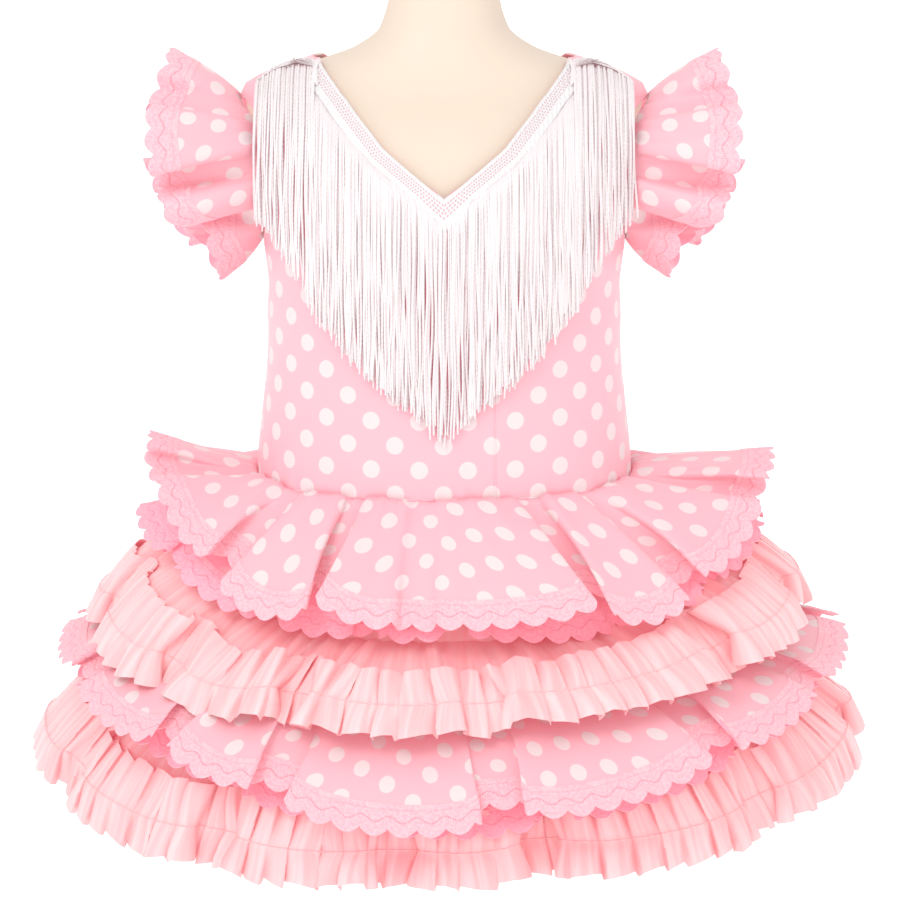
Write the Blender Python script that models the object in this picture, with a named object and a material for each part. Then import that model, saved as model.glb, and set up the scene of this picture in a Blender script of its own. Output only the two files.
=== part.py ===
"""A girl's flamenco dress, worn by a limbless display form on a low table stand.

Metres, +Z up, +Y towards the back. The origin is the middle of the stand's underside.
Every cloth piece is a closed wall through rings or sections worked out from the tables below.
An angle round the body is 0 at the centre front, 90 degrees at the wearer's left side (+X)
and 180 degrees at the centre back. A level is a height above the table.
"""

import math

import bmesh
import bpy
import numpy as np

# Seams and walls
SEAM_GAP = 0.0003
CLOTH = 0.0015
RUFFLE_CLOTH = 0.0010
TURN = 2 * math.pi

# Levels of the dress
HIP_SEAM = 0.2135
UNDERARM = 0.358
V_POINT = 0.3916
SHOULDER_TIP = 0.446
NECK_POINT = 0.4645

# The form's cross-sections, from its underside to the cut of its neck
FORM_COLUMNS = ("level", "half_width", "half_depth", "centre_y")
FORM_SECTIONS = (
    (0.1200, 0.0820, 0.0640, 0.000),
    (0.1240, 0.0960, 0.0750, 0.000),
    (0.1400, 0.1075, 0.0845, 0.000),
    (0.1850, 0.1106, 0.0865, 0.000),
    (0.2135, 0.1108, 0.0855, 0.000),
    (0.2880, 0.1048, 0.0820, 0.000),
    (0.3250, 0.1038, 0.0825, 0.000),
    (0.3580, 0.1062, 0.0830, 0.000),
    (0.3850, 0.1098, 0.0800, 0.001),
    (0.4150, 0.1150, 0.0720, 0.002),
    (0.4350, 0.1195, 0.0600, 0.004),
    (0.4460, 0.1200, 0.0500, 0.005),
    (0.4540, 0.1085, 0.0450, 0.006),
    (0.4610, 0.0900, 0.0420, 0.007),
    (0.4660, 0.0740, 0.0405, 0.008),
    (0.4730, 0.0545, 0.0390, 0.009),
    (0.4850, 0.0390, 0.0365, 0.010),
    (0.5050, 0.0335, 0.0340, 0.010),
    (0.5350, 0.0328, 0.0335, 0.010),
    (0.5420, 0.0312, 0.0315, 0.010),
    (0.5445, 0.0275, 0.0280, 0.010),
)
SQUARENESS = 2.25
FORM_SIDES = 28

# How far the cloth's inner face stands off the form
EASE_COLUMNS = ("level", "ease")
EASE = ((0.2135, 0.0034), (0.2600, 0.0026), (0.3300, 0.0023), (0.4700, 0.0023))

# The stand
BASE_RADIUS = 0.105
BASE_THICK = 0.010
POST_RADIUS = 0.011
STAND_SIDES = 24

# Bodice outlines
FRONT_NECK_COLUMNS = ("level", "half_opening")
FRONT_NECK = ((0.3916, 0.0), (0.4000, 0.0130), (0.4183, 0.0364), (0.4370, 0.0531), (0.4560, 0.0690), (0.4645, 0.0745))
BACK_NECK = ((0.4280, 0.0), (0.4330, 0.0180), (0.4420, 0.0370), (0.4520, 0.0540), (0.4600, 0.0680), (0.4645, 0.0745))
ARMHOLE_LEVEL = 0.402
ARMHOLE_HALF_HEIGHT = 0.044
ARMHOLE_HALF_ANGLE = math.radians(21)
FRONT_SEAM_X = 0.030
ZIP_HALF_WIDTH = 0.003
BODICE_LEVELS = (
    0.2135, 0.242, 0.270, 0.300, 0.331, 0.358, 0.3605, 0.369, 0.380, 0.3916, 0.405, 0.4183, 0.428, 0.437,
    0.4445, 0.453, 0.4600, 0.4645,
)
HALF_COLUMNS = 6

# The tiers of the skirt. A tier reaches from its top ring to its hem ring, and its hem hangs lower at the front
# and back than at the sides. Its creases are the valleys between its folds, in degrees round the body, each with
# how deep it is against the tier's own fold depth, and how much lower than the others the fold after it hangs.
# The hem rises at a crease by the tier's lift.
TIER_COLUMNS = (
    "name", "top_clear", "top_side", "top_front", "hem_width", "hem_depth", "hem_side", "hem_front", "side_power",
    "shift", "tilt", "fold_depth", "fold_rise", "fullness", "lift", "arch_side", "arch_front",
)
TIERS = {
    row[0]: dict(zip(TIER_COLUMNS, row))
    for row in (
        ("tier_1", 0.0015, 0.2129, 0.2129, 0.1830, 0.1500, 0.2160, 0.1560, 7.0,
         0.0080, 0.0060, 0.0170, -0.10, 0.90, 0.0150, 0.10, 0.10),
        ("tier_2", 0.0014, 0.1900, 0.1380, 0.2110, 0.1860, 0.1405, 0.1150, 4.0,
         0.0030, -0.0060, 0.0095, -0.20, 0.70, 0.0120, 0.40, 0.05),
        ("tier_3", 0.00118, 0.1270, 0.1170, 0.2300, 0.2220, 0.0990, 0.0585, 2.0,
         0.0050, 0.0, 0.0120, 0.10, 0.90, 0.0180, 0.17, 0.24),
        ("tier_4", 0.00143, 0.1030, 0.0980, 0.2470, 0.2060, 0.0560, 0.0330, 6.0,
         0.0030, -0.0040, 0.0080, -0.20, 0.70, 0.0060, 0.40, 0.20),
    )
}
CREASES = {
    "tier_1": (
        (-179, 1.0, 0.000), (-154, 0.8, 0.000), (-129, 1.1, 0.000), (-104, 0.9, 0.000),
        (-79, 0.7, 0.004), (-54, 0.9, 0.013), (-31, 1.25, 0.003), (-11, 0.6, 0.000),
        (30, 1.3, 0.008), (51, 0.9, 0.000), (75, 0.8, 0.000),
        (101, 1.1, 0.000), (128, 0.8, 0.000), (155, 1.2, 0.000),
    ),
    "tier_2": (
        (-172, 1.0, 0.000), (-142, 0.8, 0.000), (-111, 1.1, 0.000), (-80, 0.9, 0.000),
        (-54, 1.0, 0.003), (-28, 1.6, 0.004), (6, 0.5, 0.000), (52, 1.5, 0.000),
        (80, 0.9, 0.000), (104, 1.0, 0.000), (130, 0.8, 0.000), (159, 1.1, 0.000),
    ),
    "tier_3": (
        (-170, 1.0, 0.000), (-146, 0.8, 0.000), (-121, 1.1, 0.000), (-97, 0.9, 0.000),
        (-71, 0.8, 0.003), (-45, 1.2, 0.000), (-27, 0.9, 0.005), (7, 1.4, 0.000),
        (41, 1.4, 0.000), (66, 0.8, 0.000), (92, 1.1, 0.000),
        (117, 0.8, 0.000), (141, 1.2, 0.000), (165, 0.9, 0.000),
    ),
    "tier_4": (
        (-160, 1.0, 0.000), (-131, 0.9, 0.000), (-99, 1.1, 0.000), (-70, 0.8, 0.000),
        (-38, 1.0, 0.000), (-8, 0.7, 0.000), (14, 1.4, 0.000), (53, 0.9, 0.000),
        (83, 1.1, 0.000), (112, 0.8, 0.000), (143, 1.0, 0.000), (171, 0.9, 0.000),
    ),
}
CREASE_SHARPNESS = 2.4
LACE_GAP = 0.0007
LACE_DEPTH = 0.0085
LACE_SCALLOP = 0.0035
FRILL_ABOVE = 0.020
FRILL_BELOW = 0.020
FRILL_PLEAT = 0.0050
FRILL_PINCH = 0.0018
FRILL_HANG = 0.45
FRILL_GAP = 0.0016

# The hidden skirt that carries the tiers, from the hip seam to the lowest one
UNDERSKIRT_COLUMNS = ("level", "half_width", "half_depth")
UNDERSKIRT = ((0.1000, 0.1640, 0.1440), (0.1460, 0.1452, 0.1242), (0.1860, 0.1272, 0.1042), (0.2126, 0.1138, 0.0885))
UNDERSKIRT_SIDES = 32

# Sleeve ruffles. Angles run round the armhole, 0 at the shoulder and 90 degrees at the front.
SLEEVE_COLUMNS = ("centre_x", "lean", "belly", "half_depth", "half_height", "centre_level")
SLEEVE_HEM = dict(zip(SLEEVE_COLUMNS, (0.1460, 0.0200, 0.0190, 0.0520, 0.0560, 0.4060)))
SLEEVE_CREASES = (
    (-160, 0.8, 0), (-115, 1.1, 0), (-72, 1.0, 0), (-28, 0.7, 0), (34, 0.6, 0), (88, 1.8, 0), (138, 1.0, 0),
)
SLEEVE_FOLD_DEPTH = 0.0125
SLEEVE_FOLD_RISE = 0.10
SLEEVE_FULLNESS = 1.05
SLEEVE_INSET = 0.0036
SLEEVE_SIDES_PER_FOLD = 6

# Neck braid and fringe. The braid's upper edge runs up the neckline. In front it goes on along the shoulder,
# where the locks that fan out over it lie together.
BRAID_COLUMNS = ("x", "level")
FRONT_BRAID = ((0.0004, 0.3905), (0.0130, 0.4000), (0.0364, 0.4183), (0.0531, 0.4370), (0.0690, 0.4560),
               (0.0750, 0.4625), (0.0900, 0.4580), (0.1040, 0.4515), (0.1130, 0.4440))
BACK_BRAID = ((0.0036, 0.4270), (0.0180, 0.4330), (0.0370, 0.4420), (0.0540, 0.4520), (0.0680, 0.4600))
BRAID_WIDTH = 0.0095
BRAID_THICK = 0.0010
BRAID_LIFT = 0.0006
BRAID_LIFT_OUTSIDE = 0.0010
FRONT_LOCKS = 26
BACK_LOCKS = 11
LOCK_LENGTH = 0.137
LOCK_SHORTER = 1.7
SHOULDER_START = 0.0775
LOCK_DROPS = (0.010, 0.028, 0.058)
LOCK_PARTED = 0.55
LOCK_CLEAR = 0.0016
LOCK_CLEAR_OUTSIDE = 0.0042
LOCK_UNEVEN = 0.0035

PINK = (0.93, 0.45, 0.56, 1)
WHITE = (0.93, 0.90, 0.90, 1)
PEACH = (0.95, 0.58, 0.57, 1)
LACE_PINK = (0.94, 0.52, 0.62, 1)
SKIN = (0.86, 0.74, 0.62, 1)
STAND_CREAM = (0.80, 0.74, 0.66, 1)


def material(name, colour, roughness):
    made = bpy.data.materials.new(name)
    made.use_nodes = True
    shader = made.node_tree.nodes["Principled BSDF"]
    shader.inputs["Base Color"].default_value = colour
    shader.inputs["Roughness"].default_value = roughness
    shader.inputs["Metallic"].default_value = 0
    return made


def eased(table, level, column=1):
    """A column of a table at a level, on a curve through its rows that never overshoots them."""
    rows = np.array(table)
    x, y = rows[:, 0], rows[:, column]
    if level <= x[0]:
        return y[0]
    if level >= x[-1]:
        return y[-1]
    i = int(np.searchsorted(x, level, "right")) - 1
    slopes = np.diff(y) / np.diff(x)
    tangents = [0.0] * len(x)
    for k in range(len(x)):
        before, after = slopes[max(k - 1, 0)], slopes[min(k, len(slopes) - 1)]
        tangents[k] = 2 * before * after / (before + after) if before * after > 0 else 0.0
    width = x[i + 1] - x[i]
    t = (level - x[i]) / width
    return (
        y[i] * (1 + 2 * t) * (1 - t) ** 2
        + y[i + 1] * t * t * (3 - 2 * t)
        + width * (tangents[i] * t * (1 - t) ** 2 - tangents[i + 1] * t * t * (1 - t))
    )


def ring_point(half_width, half_depth, centre_y, level, angle, squareness=SQUARENESS):
    reach = (abs(math.sin(angle)) / half_width) ** squareness + (abs(math.cos(angle)) / half_depth) ** squareness
    reach **= -1 / squareness
    return np.array([reach * math.sin(angle), centre_y - reach * math.cos(angle), level])


def form_point(angle, level):
    return ring_point(*(eased(FORM_SECTIONS, level, c) for c in (1, 2, 3)), level, angle)


def on_form(angle, level, lift):
    """The point at that angle and level of the form, moved out along the form's normal."""
    step = 1e-4
    across = form_point(angle + step, level) - form_point(angle - step, level)
    along = form_point(angle, level + step) - form_point(angle, level - step)
    normal = np.cross(across, along)
    return form_point(angle, level) + normal / np.linalg.norm(normal) * lift


def angle_at_x(x, level, lift):
    """The angle, between the centre and the side, where the lifted surface reaches that x."""
    low, high = 0.0, math.pi / 2
    for _ in range(40):
        middle = (low + high) / 2
        low, high = (middle, high) if on_form(middle, level, lift)[0] < x else (low, middle)
    return (low + high) / 2


def grid_quads(rows, columns, closed=False, first=0):
    quads = []
    for r in range(rows - 1):
        for c in range(columns if closed else columns - 1):
            right = (c + 1) % columns
            quads.append((
                first + r * columns + c,
                first + r * columns + right,
                first + (r + 1) * columns + right,
                first + (r + 1) * columns + c,
            ))
    return quads


def vertex_normals(points, quads):
    normals = np.zeros_like(points)
    for quad in quads:
        a, b, c, d = (points[i] for i in quad)
        face = np.cross(c - a, d - b)
        face /= max(np.linalg.norm(face), 1e-12)
        normals[list(quad)] += face
    return normals / np.maximum(np.linalg.norm(normals, axis=1), 1e-9)[:, None]


def add_object(name, points, faces, finish, smooth=True):
    mesh = bpy.data.meshes.new(name)
    shape = bmesh.new()
    corners = [shape.verts.new(p) for p in points]
    for face in faces:
        shape.faces.new([corners[i] for i in face])
    bmesh.ops.recalc_face_normals(shape, faces=shape.faces)
    if shape.calc_volume(signed=True) < 0:
        bmesh.ops.reverse_faces(shape, faces=shape.faces)
    shape.to_mesh(mesh)
    shape.free()
    if smooth:
        mesh.shade_smooth()
        mesh.set_sharp_from_angle(angle=math.radians(50))
    mesh.materials.append(finish)
    made = bpy.data.objects.new(name, mesh)
    bpy.context.scene.collection.objects.link(made)
    return made


def wall(name, outer, quads, thickness, finish, side=1):
    """A closed wall whose outer face is the given surface, and whose inner face lies a thickness behind it."""
    outer = np.asarray(outer, float)
    return between(name, outer, outer - side * thickness * vertex_normals(outer, quads), quads, finish)


def between(name, outer, inner, quads, finish):
    """A closed wall between two faces of the same grid. Both faces split each quad along its shorter diagonal, so
    that a twisted quad's two sides stay apart."""
    count = len(outer)
    halves = []
    for a, b, c, d in quads:
        if np.linalg.norm(outer[a] - outer[c]) <= np.linalg.norm(outer[b] - outer[d]):
            halves += [(a, b, c), (a, c, d)]
        else:
            halves += [(a, b, d), (b, c, d)]
    used = {}
    for quad in quads:
        for a, b in zip(quad, quad[1:] + quad[:1]):
            used.setdefault(frozenset((a, b)), []).append((a, b))
    rims = [pairs[0] for pairs in used.values() if len(pairs) == 1]
    faces = [*halves, *(tuple(count + i for i in reversed(half)) for half in halves)]
    faces += [(b, a, count + a, count + b) for a, b in rims]
    return add_object(name, np.vstack([outer, inner]), faces, finish)


def revolved(name, rings, finish, smooth=True):
    """A solid through closed rings of points, with flat caps on the first and the last."""
    sides = len(rings[0])
    faces = [*grid_quads(len(rings), sides, closed=True)]
    faces += [tuple(range(sides)), tuple((len(rings) - 1) * sides + i for i in range(sides))]
    return add_object(name, np.vstack(rings), faces, finish, smooth)


# The form and its stand


def build_form(skin, stand):
    angles = [TURN * i / FORM_SIDES for i in range(FORM_SIDES)]
    levels = [row[0] for row in FORM_SECTIONS]
    revolved("form_torso", [np.array([form_point(a, z) for a in angles]) for z in levels], skin)

    def disc(radius, level):
        steps = (TURN * i / STAND_SIDES for i in range(STAND_SIDES))
        return np.array([(radius * math.sin(a), -radius * math.cos(a), level) for a in steps])

    edge = 0.002
    revolved("stand_base", [
        disc(BASE_RADIUS, 0), disc(BASE_RADIUS, BASE_THICK - edge), disc(BASE_RADIUS - edge, BASE_THICK),
    ], stand)
    underside = FORM_SECTIONS[0][0]
    revolved("stand_post", [
        disc(POST_RADIUS, BASE_THICK + SEAM_GAP), disc(POST_RADIUS, underside - SEAM_GAP),
    ], stand)


# The bodice


def armhole_angle(level):
    """How far the armhole's edge lies in front of or behind the side, or 0 outside the armhole."""
    share = (level - ARMHOLE_LEVEL) / ARMHOLE_HALF_HEIGHT
    return ARMHOLE_HALF_ANGLE * math.sqrt(max(0.0, 1 - share * share))


def lift_at(level):
    return eased(EASE, level) + CLOTH


def seam_angle(level, half_gap=SEAM_GAP / 2):
    return half_gap / form_point(math.pi / 2, level)[0]


def half_bodice(neck, start_x, levels, side, columns, end_x=None, back=False):
    """The outer and inner face of one half, from its inner edge to its outer one, in rows going up. Its inner edge
    is at start_x, or at the neckline where that lies further out. Its outer edge is the side, armhole or shoulder,
    or end_x."""
    faces = []
    for level in levels:
        lift = lift_at(level)
        opening = eased(neck, level) if level > neck[0][0] else 0.0
        inner = angle_at_x(max(start_x, opening), level, lift) if max(start_x, opening) > 0 else 0.0
        outer = math.pi / 2 - armhole_angle(level) - seam_angle(level)
        if end_x is not None:
            outer = angle_at_x(end_x, level, lift)
        for c in range(columns + 1):
            angle = inner + (outer - inner) * c / columns
            place = side * (math.pi - angle if back else angle)
            faces.append([on_form(place, level, lift), on_form(place, level, lift - CLOTH)])
    return np.array(faces)


def join_at_centre(first, second, columns_first, columns_second, shared_rows):
    """Two half grids as one surface: the first points of each row are the same point in the shared rows."""
    points = [*first]
    index = []
    for i, point in enumerate(second):
        row, column = divmod(i, columns_second + 1)
        if column == 0 and row < shared_rows:
            index.append(row * (columns_first + 1))
        else:
            index.append(len(points))
            points.append(point)
    rows_first = len(first) // (columns_first + 1)
    rows_second = len(second) // (columns_second + 1)
    quads = grid_quads(rows_first, columns_first + 1)
    quads += [tuple(index[i] for i in reversed(q)) for q in grid_quads(rows_second, columns_second + 1)]
    return np.array(points), quads


def build_bodice(pink):
    levels = BODICE_LEVELS
    half_gap = SEAM_GAP / 2
    right = half_bodice(FRONT_NECK, 0.0, levels, -1, HALF_COLUMNS)
    # The strip between the centre front and the front seam, up to where the neckline leaves it
    strip_levels = [z for z in levels if z <= V_POINT] + [0.405, 0.411]
    strip_columns = 2
    strip = half_bodice(FRONT_NECK, 0.0, strip_levels, 1, strip_columns, end_x=FRONT_SEAM_X - half_gap)
    shared = sum(z <= V_POINT for z in levels)
    points, quads = join_at_centre(right, strip, HALF_COLUMNS, strip_columns, shared)
    between("bodice_front", points[:, 0], points[:, 1], quads, pink)

    left = half_bodice(FRONT_NECK, FRONT_SEAM_X + half_gap, levels, 1, HALF_COLUMNS - 1)
    between("bodice_side_front", left[:, 0], left[:, 1], grid_quads(len(levels), HALF_COLUMNS), pink)

    for name, side in (("bodice_back_right", -1), ("bodice_back_left", 1)):
        half = half_bodice(BACK_NECK, ZIP_HALF_WIDTH + half_gap, levels, side, HALF_COLUMNS, back=True)
        between(name, half[:, 0], half[:, 1], grid_quads(len(levels), HALF_COLUMNS + 1), pink)

    tape = []
    for level in levels:
        if level > BACK_NECK[0][0]:
            break
        lift = lift_at(level)
        edge = angle_at_x(ZIP_HALF_WIDTH - half_gap, level, lift)
        for place in (math.pi + edge, math.pi - edge):
            tape.append([on_form(place, level, lift), on_form(place, level, lift - CLOTH)])
    tape = np.array(tape)
    between("back_zip", tape[:, 0], tape[:, 1], grid_quads(len(tape) // 2, 2), pink)


# The skirt


def folded(middle, creases, turn, reach, depth, rise, fullness, lift=0.0):
    """A point of gathered cloth: middle gives the cloth without its folds, at an angle and a reach. Turn runs from
    0 to 1 once round, evenly through each fold. A fold swells outwards and sideways, the more the further it is
    from the gathers, so that a deep one overhangs its creases."""
    places = [math.radians(crease[0]) for crease in creases]
    places.append(places[0] + TURN)
    shares = [crease[1] for crease in creases]
    shares.append(shares[0])
    position = (turn % 1) * len(creases)
    fold = min(int(position), len(creases) - 1)
    along = position - fold
    angle = places[fold] + (places[fold + 1] - places[fold]) * along
    strength = shares[fold] + (shares[fold + 1] - shares[fold]) * (3 - 2 * along) * along * along
    growth = max(reach, 0.0) ** 0.9
    step = 1e-3
    across = middle(angle + step, reach) - middle(angle - step, reach)
    onward = middle(angle, reach + step) - middle(angle, reach - step)
    across /= np.linalg.norm(across)
    normal = np.cross(onward, across)
    normal /= np.linalg.norm(normal)
    spacing = np.linalg.norm(middle(places[fold + 1], reach) - middle(places[fold], reach))
    sway = fullness * spacing * min(strength, 1.3) / (4 * math.pi) * growth
    phase = TURN * along
    valley = (0.5 + 0.5 * math.cos(phase)) ** CREASE_SHARPNESS
    swell = rise + strength * (1 - 2 * valley)
    return (
        middle(angle, reach)
        + normal * depth * growth * swell
        - across * sway * math.sin(2 * phase)
        + np.array([0, 0, (lift * strength * valley - creases[fold][2] * (1 - valley)) * growth])
    )


def tier_middle(tier, angle, reach):
    """The tier's cloth without its folds. Reach is 0 at the top ring and 1 at the hem, and may run a little past."""
    side = math.sin(angle) ** 2
    beside = side ** (tier["side_power"] / 2)
    top_level = tier["top_front"] + (tier["top_side"] - tier["top_front"]) * beside
    # The top runs round the underskirt at its level
    width, depth = (eased(UNDERSKIRT, top_level, c) + tier["top_clear"] for c in (1, 2))
    top = ring_point(width, depth, 0, top_level, angle)
    hem_level = tier["hem_front"] + (tier["hem_side"] - tier["hem_front"]) * beside
    hem_level -= tier["tilt"] * math.sin(angle)
    hem = ring_point(tier["hem_width"], tier["hem_depth"], 0, hem_level, angle, 2)
    hem[0] += tier["shift"]
    bow = (tier["arch_front"] + (tier["arch_side"] - tier["arch_front"]) * beside) * reach * (1 - reach)
    out = reach + bow
    down = reach - bow
    return np.array([
        top[0] + (hem[0] - top[0]) * out,
        top[1] + (hem[1] - top[1]) * out,
        top[2] + (hem[2] - top[2]) * down,
    ])


def tier_point(tier, turn, reach):
    return folded(
        lambda angle, down: tier_middle(tier, angle, down), CREASES[tier["name"]], turn, reach,
        tier["fold_depth"], tier["fold_rise"], tier["fullness"], tier["lift"],
    )


def tier_grid(tier, columns, reaches):
    return np.array([[tier_point(tier, c / columns, reach) for c in range(columns)] for reach in reaches])


def hem_run(grid):
    """The hem's points, with each one's direction down the cloth."""
    down = grid[-1] - grid[-2]
    return grid[-1], down / np.linalg.norm(down, axis=1)[:, None]


def with_midpoints(values):
    """A closed row with the middle of each step put between its ends."""
    return np.stack([values, (values + np.roll(values, -1, axis=0)) / 2], axis=1).reshape(-1, values.shape[1])


def add_lace(name, grid, finish, side=-1, fine=True):
    """Scalloped lace along the hem of a closed ruffle: a scallop for each of its columns, or for every other one."""
    edge, down = (with_midpoints(values) if fine else values for values in hem_run(grid))
    depth = LACE_DEPTH + LACE_SCALLOP * np.where(np.arange(len(edge)) % 2, 1.0, -0.6)
    steps = np.roll(edge, -1, axis=0) - edge
    steps /= np.linalg.norm(steps, axis=1)[:, None]
    slant = np.full(len(edge), 1.0)
    for run in (steps, np.roll(steps, 1, axis=0)):
        leaving = down - run * (down * run).sum(axis=1)[:, None]
        slant = np.minimum(slant, np.linalg.norm(leaving, axis=1))
    gap = LACE_GAP / np.maximum(slant, 0.2)
    rows = [edge + down * gap[:, None], edge + down * (gap + depth)[:, None]]
    wall(name, np.vstack(rows), grid_quads(2, len(edge), closed=True), RUFFLE_CLOTH, finish, side)


def add_ruffle(name, grid, finish, side=-1):
    rows, columns = grid.shape[:2]
    wall(name, grid.reshape(-1, 3), grid_quads(rows, columns, closed=True), RUFFLE_CLOTH, finish, side)


def add_frill(name, grid, finish):
    """A pleated strip over the hem of a plain tier, pinched along its middle where it is sewn to the hem."""
    columns = grid.shape[1]
    flat = grid.reshape(-1, 3)
    normals = -vertex_normals(flat, grid_quads(grid.shape[0], columns, closed=True)).reshape(grid.shape)
    edge, down = hem_run(grid)
    clear = RUFFLE_CLOTH + FRILL_GAP
    # Its lower half hangs a little steeper than the cloth
    hang = down * (1 - FRILL_HANG) + np.array([0, 0, -FRILL_HANG])
    hang /= np.linalg.norm(hang, axis=1)[:, None]
    rows = []
    for drop, pleat in ((-FRILL_ABOVE, FRILL_PLEAT), (-0.002, FRILL_PINCH), (FRILL_BELOW, FRILL_PLEAT)):
        base = with_midpoints(edge + (hang if drop > 0 else down) * drop)
        out = with_midpoints(normals[-1])
        lift = clear + pleat * (np.arange(2 * columns) % 2)
        rows.append(base + out * lift[:, None])
    wall(name, np.vstack(rows), grid_quads(3, 2 * columns, closed=True), RUFFLE_CLOTH, finish, side=-1)


def build_skirt(pink, peach, lace):
    angles = [TURN * i / UNDERSKIRT_SIDES for i in range(UNDERSKIRT_SIDES)]
    under = [ring_point(w, d, 0, z, a) for z, w, d in reversed(UNDERSKIRT) for a in angles]
    quads = grid_quads(len(UNDERSKIRT), UNDERSKIRT_SIDES, closed=True)
    wall("underskirt", under, quads, RUFFLE_CLOTH, pink, side=-1)
    for name in ("tier_1", "tier_3"):
        tier = TIERS[name]
        grid = tier_grid(tier, len(CREASES[name]) * 6, (0.0, 0.45, 1.0))
        add_ruffle(name, grid, pink)
        add_lace(name + "_lace", grid, lace)
    for name in ("tier_2", "tier_4"):
        tier = TIERS[name]
        grid = tier_grid(tier, len(CREASES[name]) * 5, (0.0, 0.5, 1.0))
        add_ruffle(name, grid, peach)
        add_frill(name + "_frill", grid, peach)


# The sleeves


def sleeve_middle(angle, reach):
    """The left sleeve's cloth without its folds, from the armhole to the hem."""
    level = ARMHOLE_LEVEL + (ARMHOLE_HALF_HEIGHT - SLEEVE_INSET) * math.cos(angle)
    inset = SLEEVE_INSET / form_point(math.pi / 2, ARMHOLE_LEVEL)[0]
    around = math.pi / 2 - (ARMHOLE_HALF_ANGLE - inset) * math.sin(angle)
    start = on_form(around, level, lift_at(level) - CLOTH / 2)
    hem = SLEEVE_HEM
    end = np.array([
        hem["centre_x"] + hem["lean"] * math.cos(angle) + hem["belly"] * math.sin(angle) ** 2,
        -hem["half_depth"] * math.sin(angle),
        hem["centre_level"] + hem["half_height"] * math.cos(angle),
    ])
    puff = 0.35 * reach * (1 - reach)
    return start + (end - start) * (reach, reach + puff, reach + puff)


def sleeve_point(side, turn, reach):
    # Seen from outside the left sleeve the angle runs the other way round from a tier's
    point = folded(
        lambda angle, out: sleeve_middle(-angle, out), [(-c[0], *c[1:]) for c in reversed(SLEEVE_CREASES)],
        turn, reach, SLEEVE_FOLD_DEPTH, SLEEVE_FOLD_RISE, SLEEVE_FULLNESS,
    )
    return point * (side, 1, 1)


def build_sleeves(pink, lace):
    columns = len(SLEEVE_CREASES) * SLEEVE_SIDES_PER_FOLD
    for name, side in (("sleeve_right", -1), ("sleeve_left", 1)):
        reaches = (0.0, 0.45, 1.0)
        grid = np.array([[sleeve_point(side, c / columns, reach) for c in range(columns)] for reach in reaches])
        add_ruffle(name, grid, pink, side)
        add_lace(name + "_lace", grid, lace, side, fine=False)


# The fringe


def along(table, share):
    """The point that share of the way along a line of points, and the line's direction there."""
    points = np.array(table)
    lengths = np.linalg.norm(np.diff(points, axis=0), axis=1)
    ends = np.concatenate([[0], np.cumsum(lengths)])
    at = min(max(share, 0.0), 1.0) * ends[-1]
    i = min(int(np.searchsorted(ends, at, "right")) - 1, len(lengths) - 1)
    point = points[i] + (points[i + 1] - points[i]) * (at - ends[i]) / lengths[i]
    near, far = (np.clip(share + d, 0, 1) * ends[-1] for d in (-0.03, 0.03))
    low, high = (np.array([np.interp(v, ends, points[:, k]) for k in (0, 1)]) for v in (near, far))
    return point, (high - low) / np.linalg.norm(high - low)


def outward_depth(x, level, lift):
    """How far in front of the side the lifted surface stands at that x, and where it has none, 0."""
    place = on_form(angle_at_x(x, level, lift), level, lift)
    return max(0.0, -place[1]) if place[0] > x - 1e-4 else 0.0


def back_depth(x, level, lift):
    place = on_form(math.pi - angle_at_x(x, level, lift), level, lift)
    return max(0.0, place[1]) if place[0] > x - 1e-4 else 0.0


def add_fringe(name, table, side, back, locks, finish):
    depth_at = back_depth if back else outward_depth
    facing = 1 if back else -1

    def on_cloth(x, level, lift):
        angle = angle_at_x(max(x, 0.0002), level, lift)
        return on_form(math.pi - angle if back else angle, level, lift)

    rows = []
    for i in range(locks + 1):
        (x, level), run = along(table, i / locks)
        column = []
        # The two sides' braids meet along the centre line below the point of the V
        turn_in = min(1.0, x / BRAID_WIDTH)
        for drop in (0.0, BRAID_WIDTH):
            px, pz = x + run[1] * drop * turn_in, level - run[0] * drop * (2 - turn_in)
            lift = lift_at(pz) + BRAID_LIFT + BRAID_LIFT_OUTSIDE * (px / 0.09) ** 2
            column += [on_cloth(px, pz, lift + BRAID_THICK), on_cloth(px, pz, lift)]
        rows.append(column)
    # Each column: upper outer, upper inner, lower outer, lower inner
    points = [p for column in rows for p in column]
    faces = []
    for i in range(locks):
        a, b = 4 * i, 4 * i + 4
        faces += [(a, b, b + 2, a + 2), (b + 1, a + 1, a + 3, b + 3), (b, a, a + 1, b + 1)]
    last = 4 * locks
    faces += [(0, 2, 3, 1), (last + 1, last + 3, last + 2, last)]
    for i in range(locks):
        loop = [4 * i + 2, 4 * i + 6, 4 * i + 7, 4 * i + 3]
        left, right = points[loop[0]], points[loop[1]]
        middle = (left + right) / 2
        half = abs(right[0] - left[0]) / 2 * LOCK_PARTED
        half = max(half, 0.0006)
        reach = abs(middle[1])
        length = LOCK_LENGTH + LOCK_UNEVEN * math.sin(2.3 * i) - BRAID_WIDTH
        if not back:
            length -= LOCK_SHORTER * max(0.0, middle[0] - SHOULDER_START)
        for drop in (*LOCK_DROPS, length):
            level = middle[2] - drop
            lift = lift_at(level) + BRAID_LIFT + LOCK_CLEAR + LOCK_CLEAR_OUTSIDE * (middle[0] / 0.09) ** 2
            reach = max(reach, depth_at(middle[0], level, lift))
            outer = facing * (reach + BRAID_THICK)
            inner = facing * reach
            start = len(points)
            for px, py in ((-half, outer), (half, outer), (half, inner), (-half, inner)):
                points.append(np.array([middle[0] + px, py, level]))
            fresh = [start, start + 1, start + 2, start + 3]
            for k in range(4):
                j = (k + 1) % 4
                faces.append((loop[k], loop[j], fresh[j], fresh[k]))
            loop = fresh
        faces.append(tuple(loop))
    placed = np.array(points) * (side, 1, 1)
    add_object(name, placed, faces, finish, smooth=False)


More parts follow.
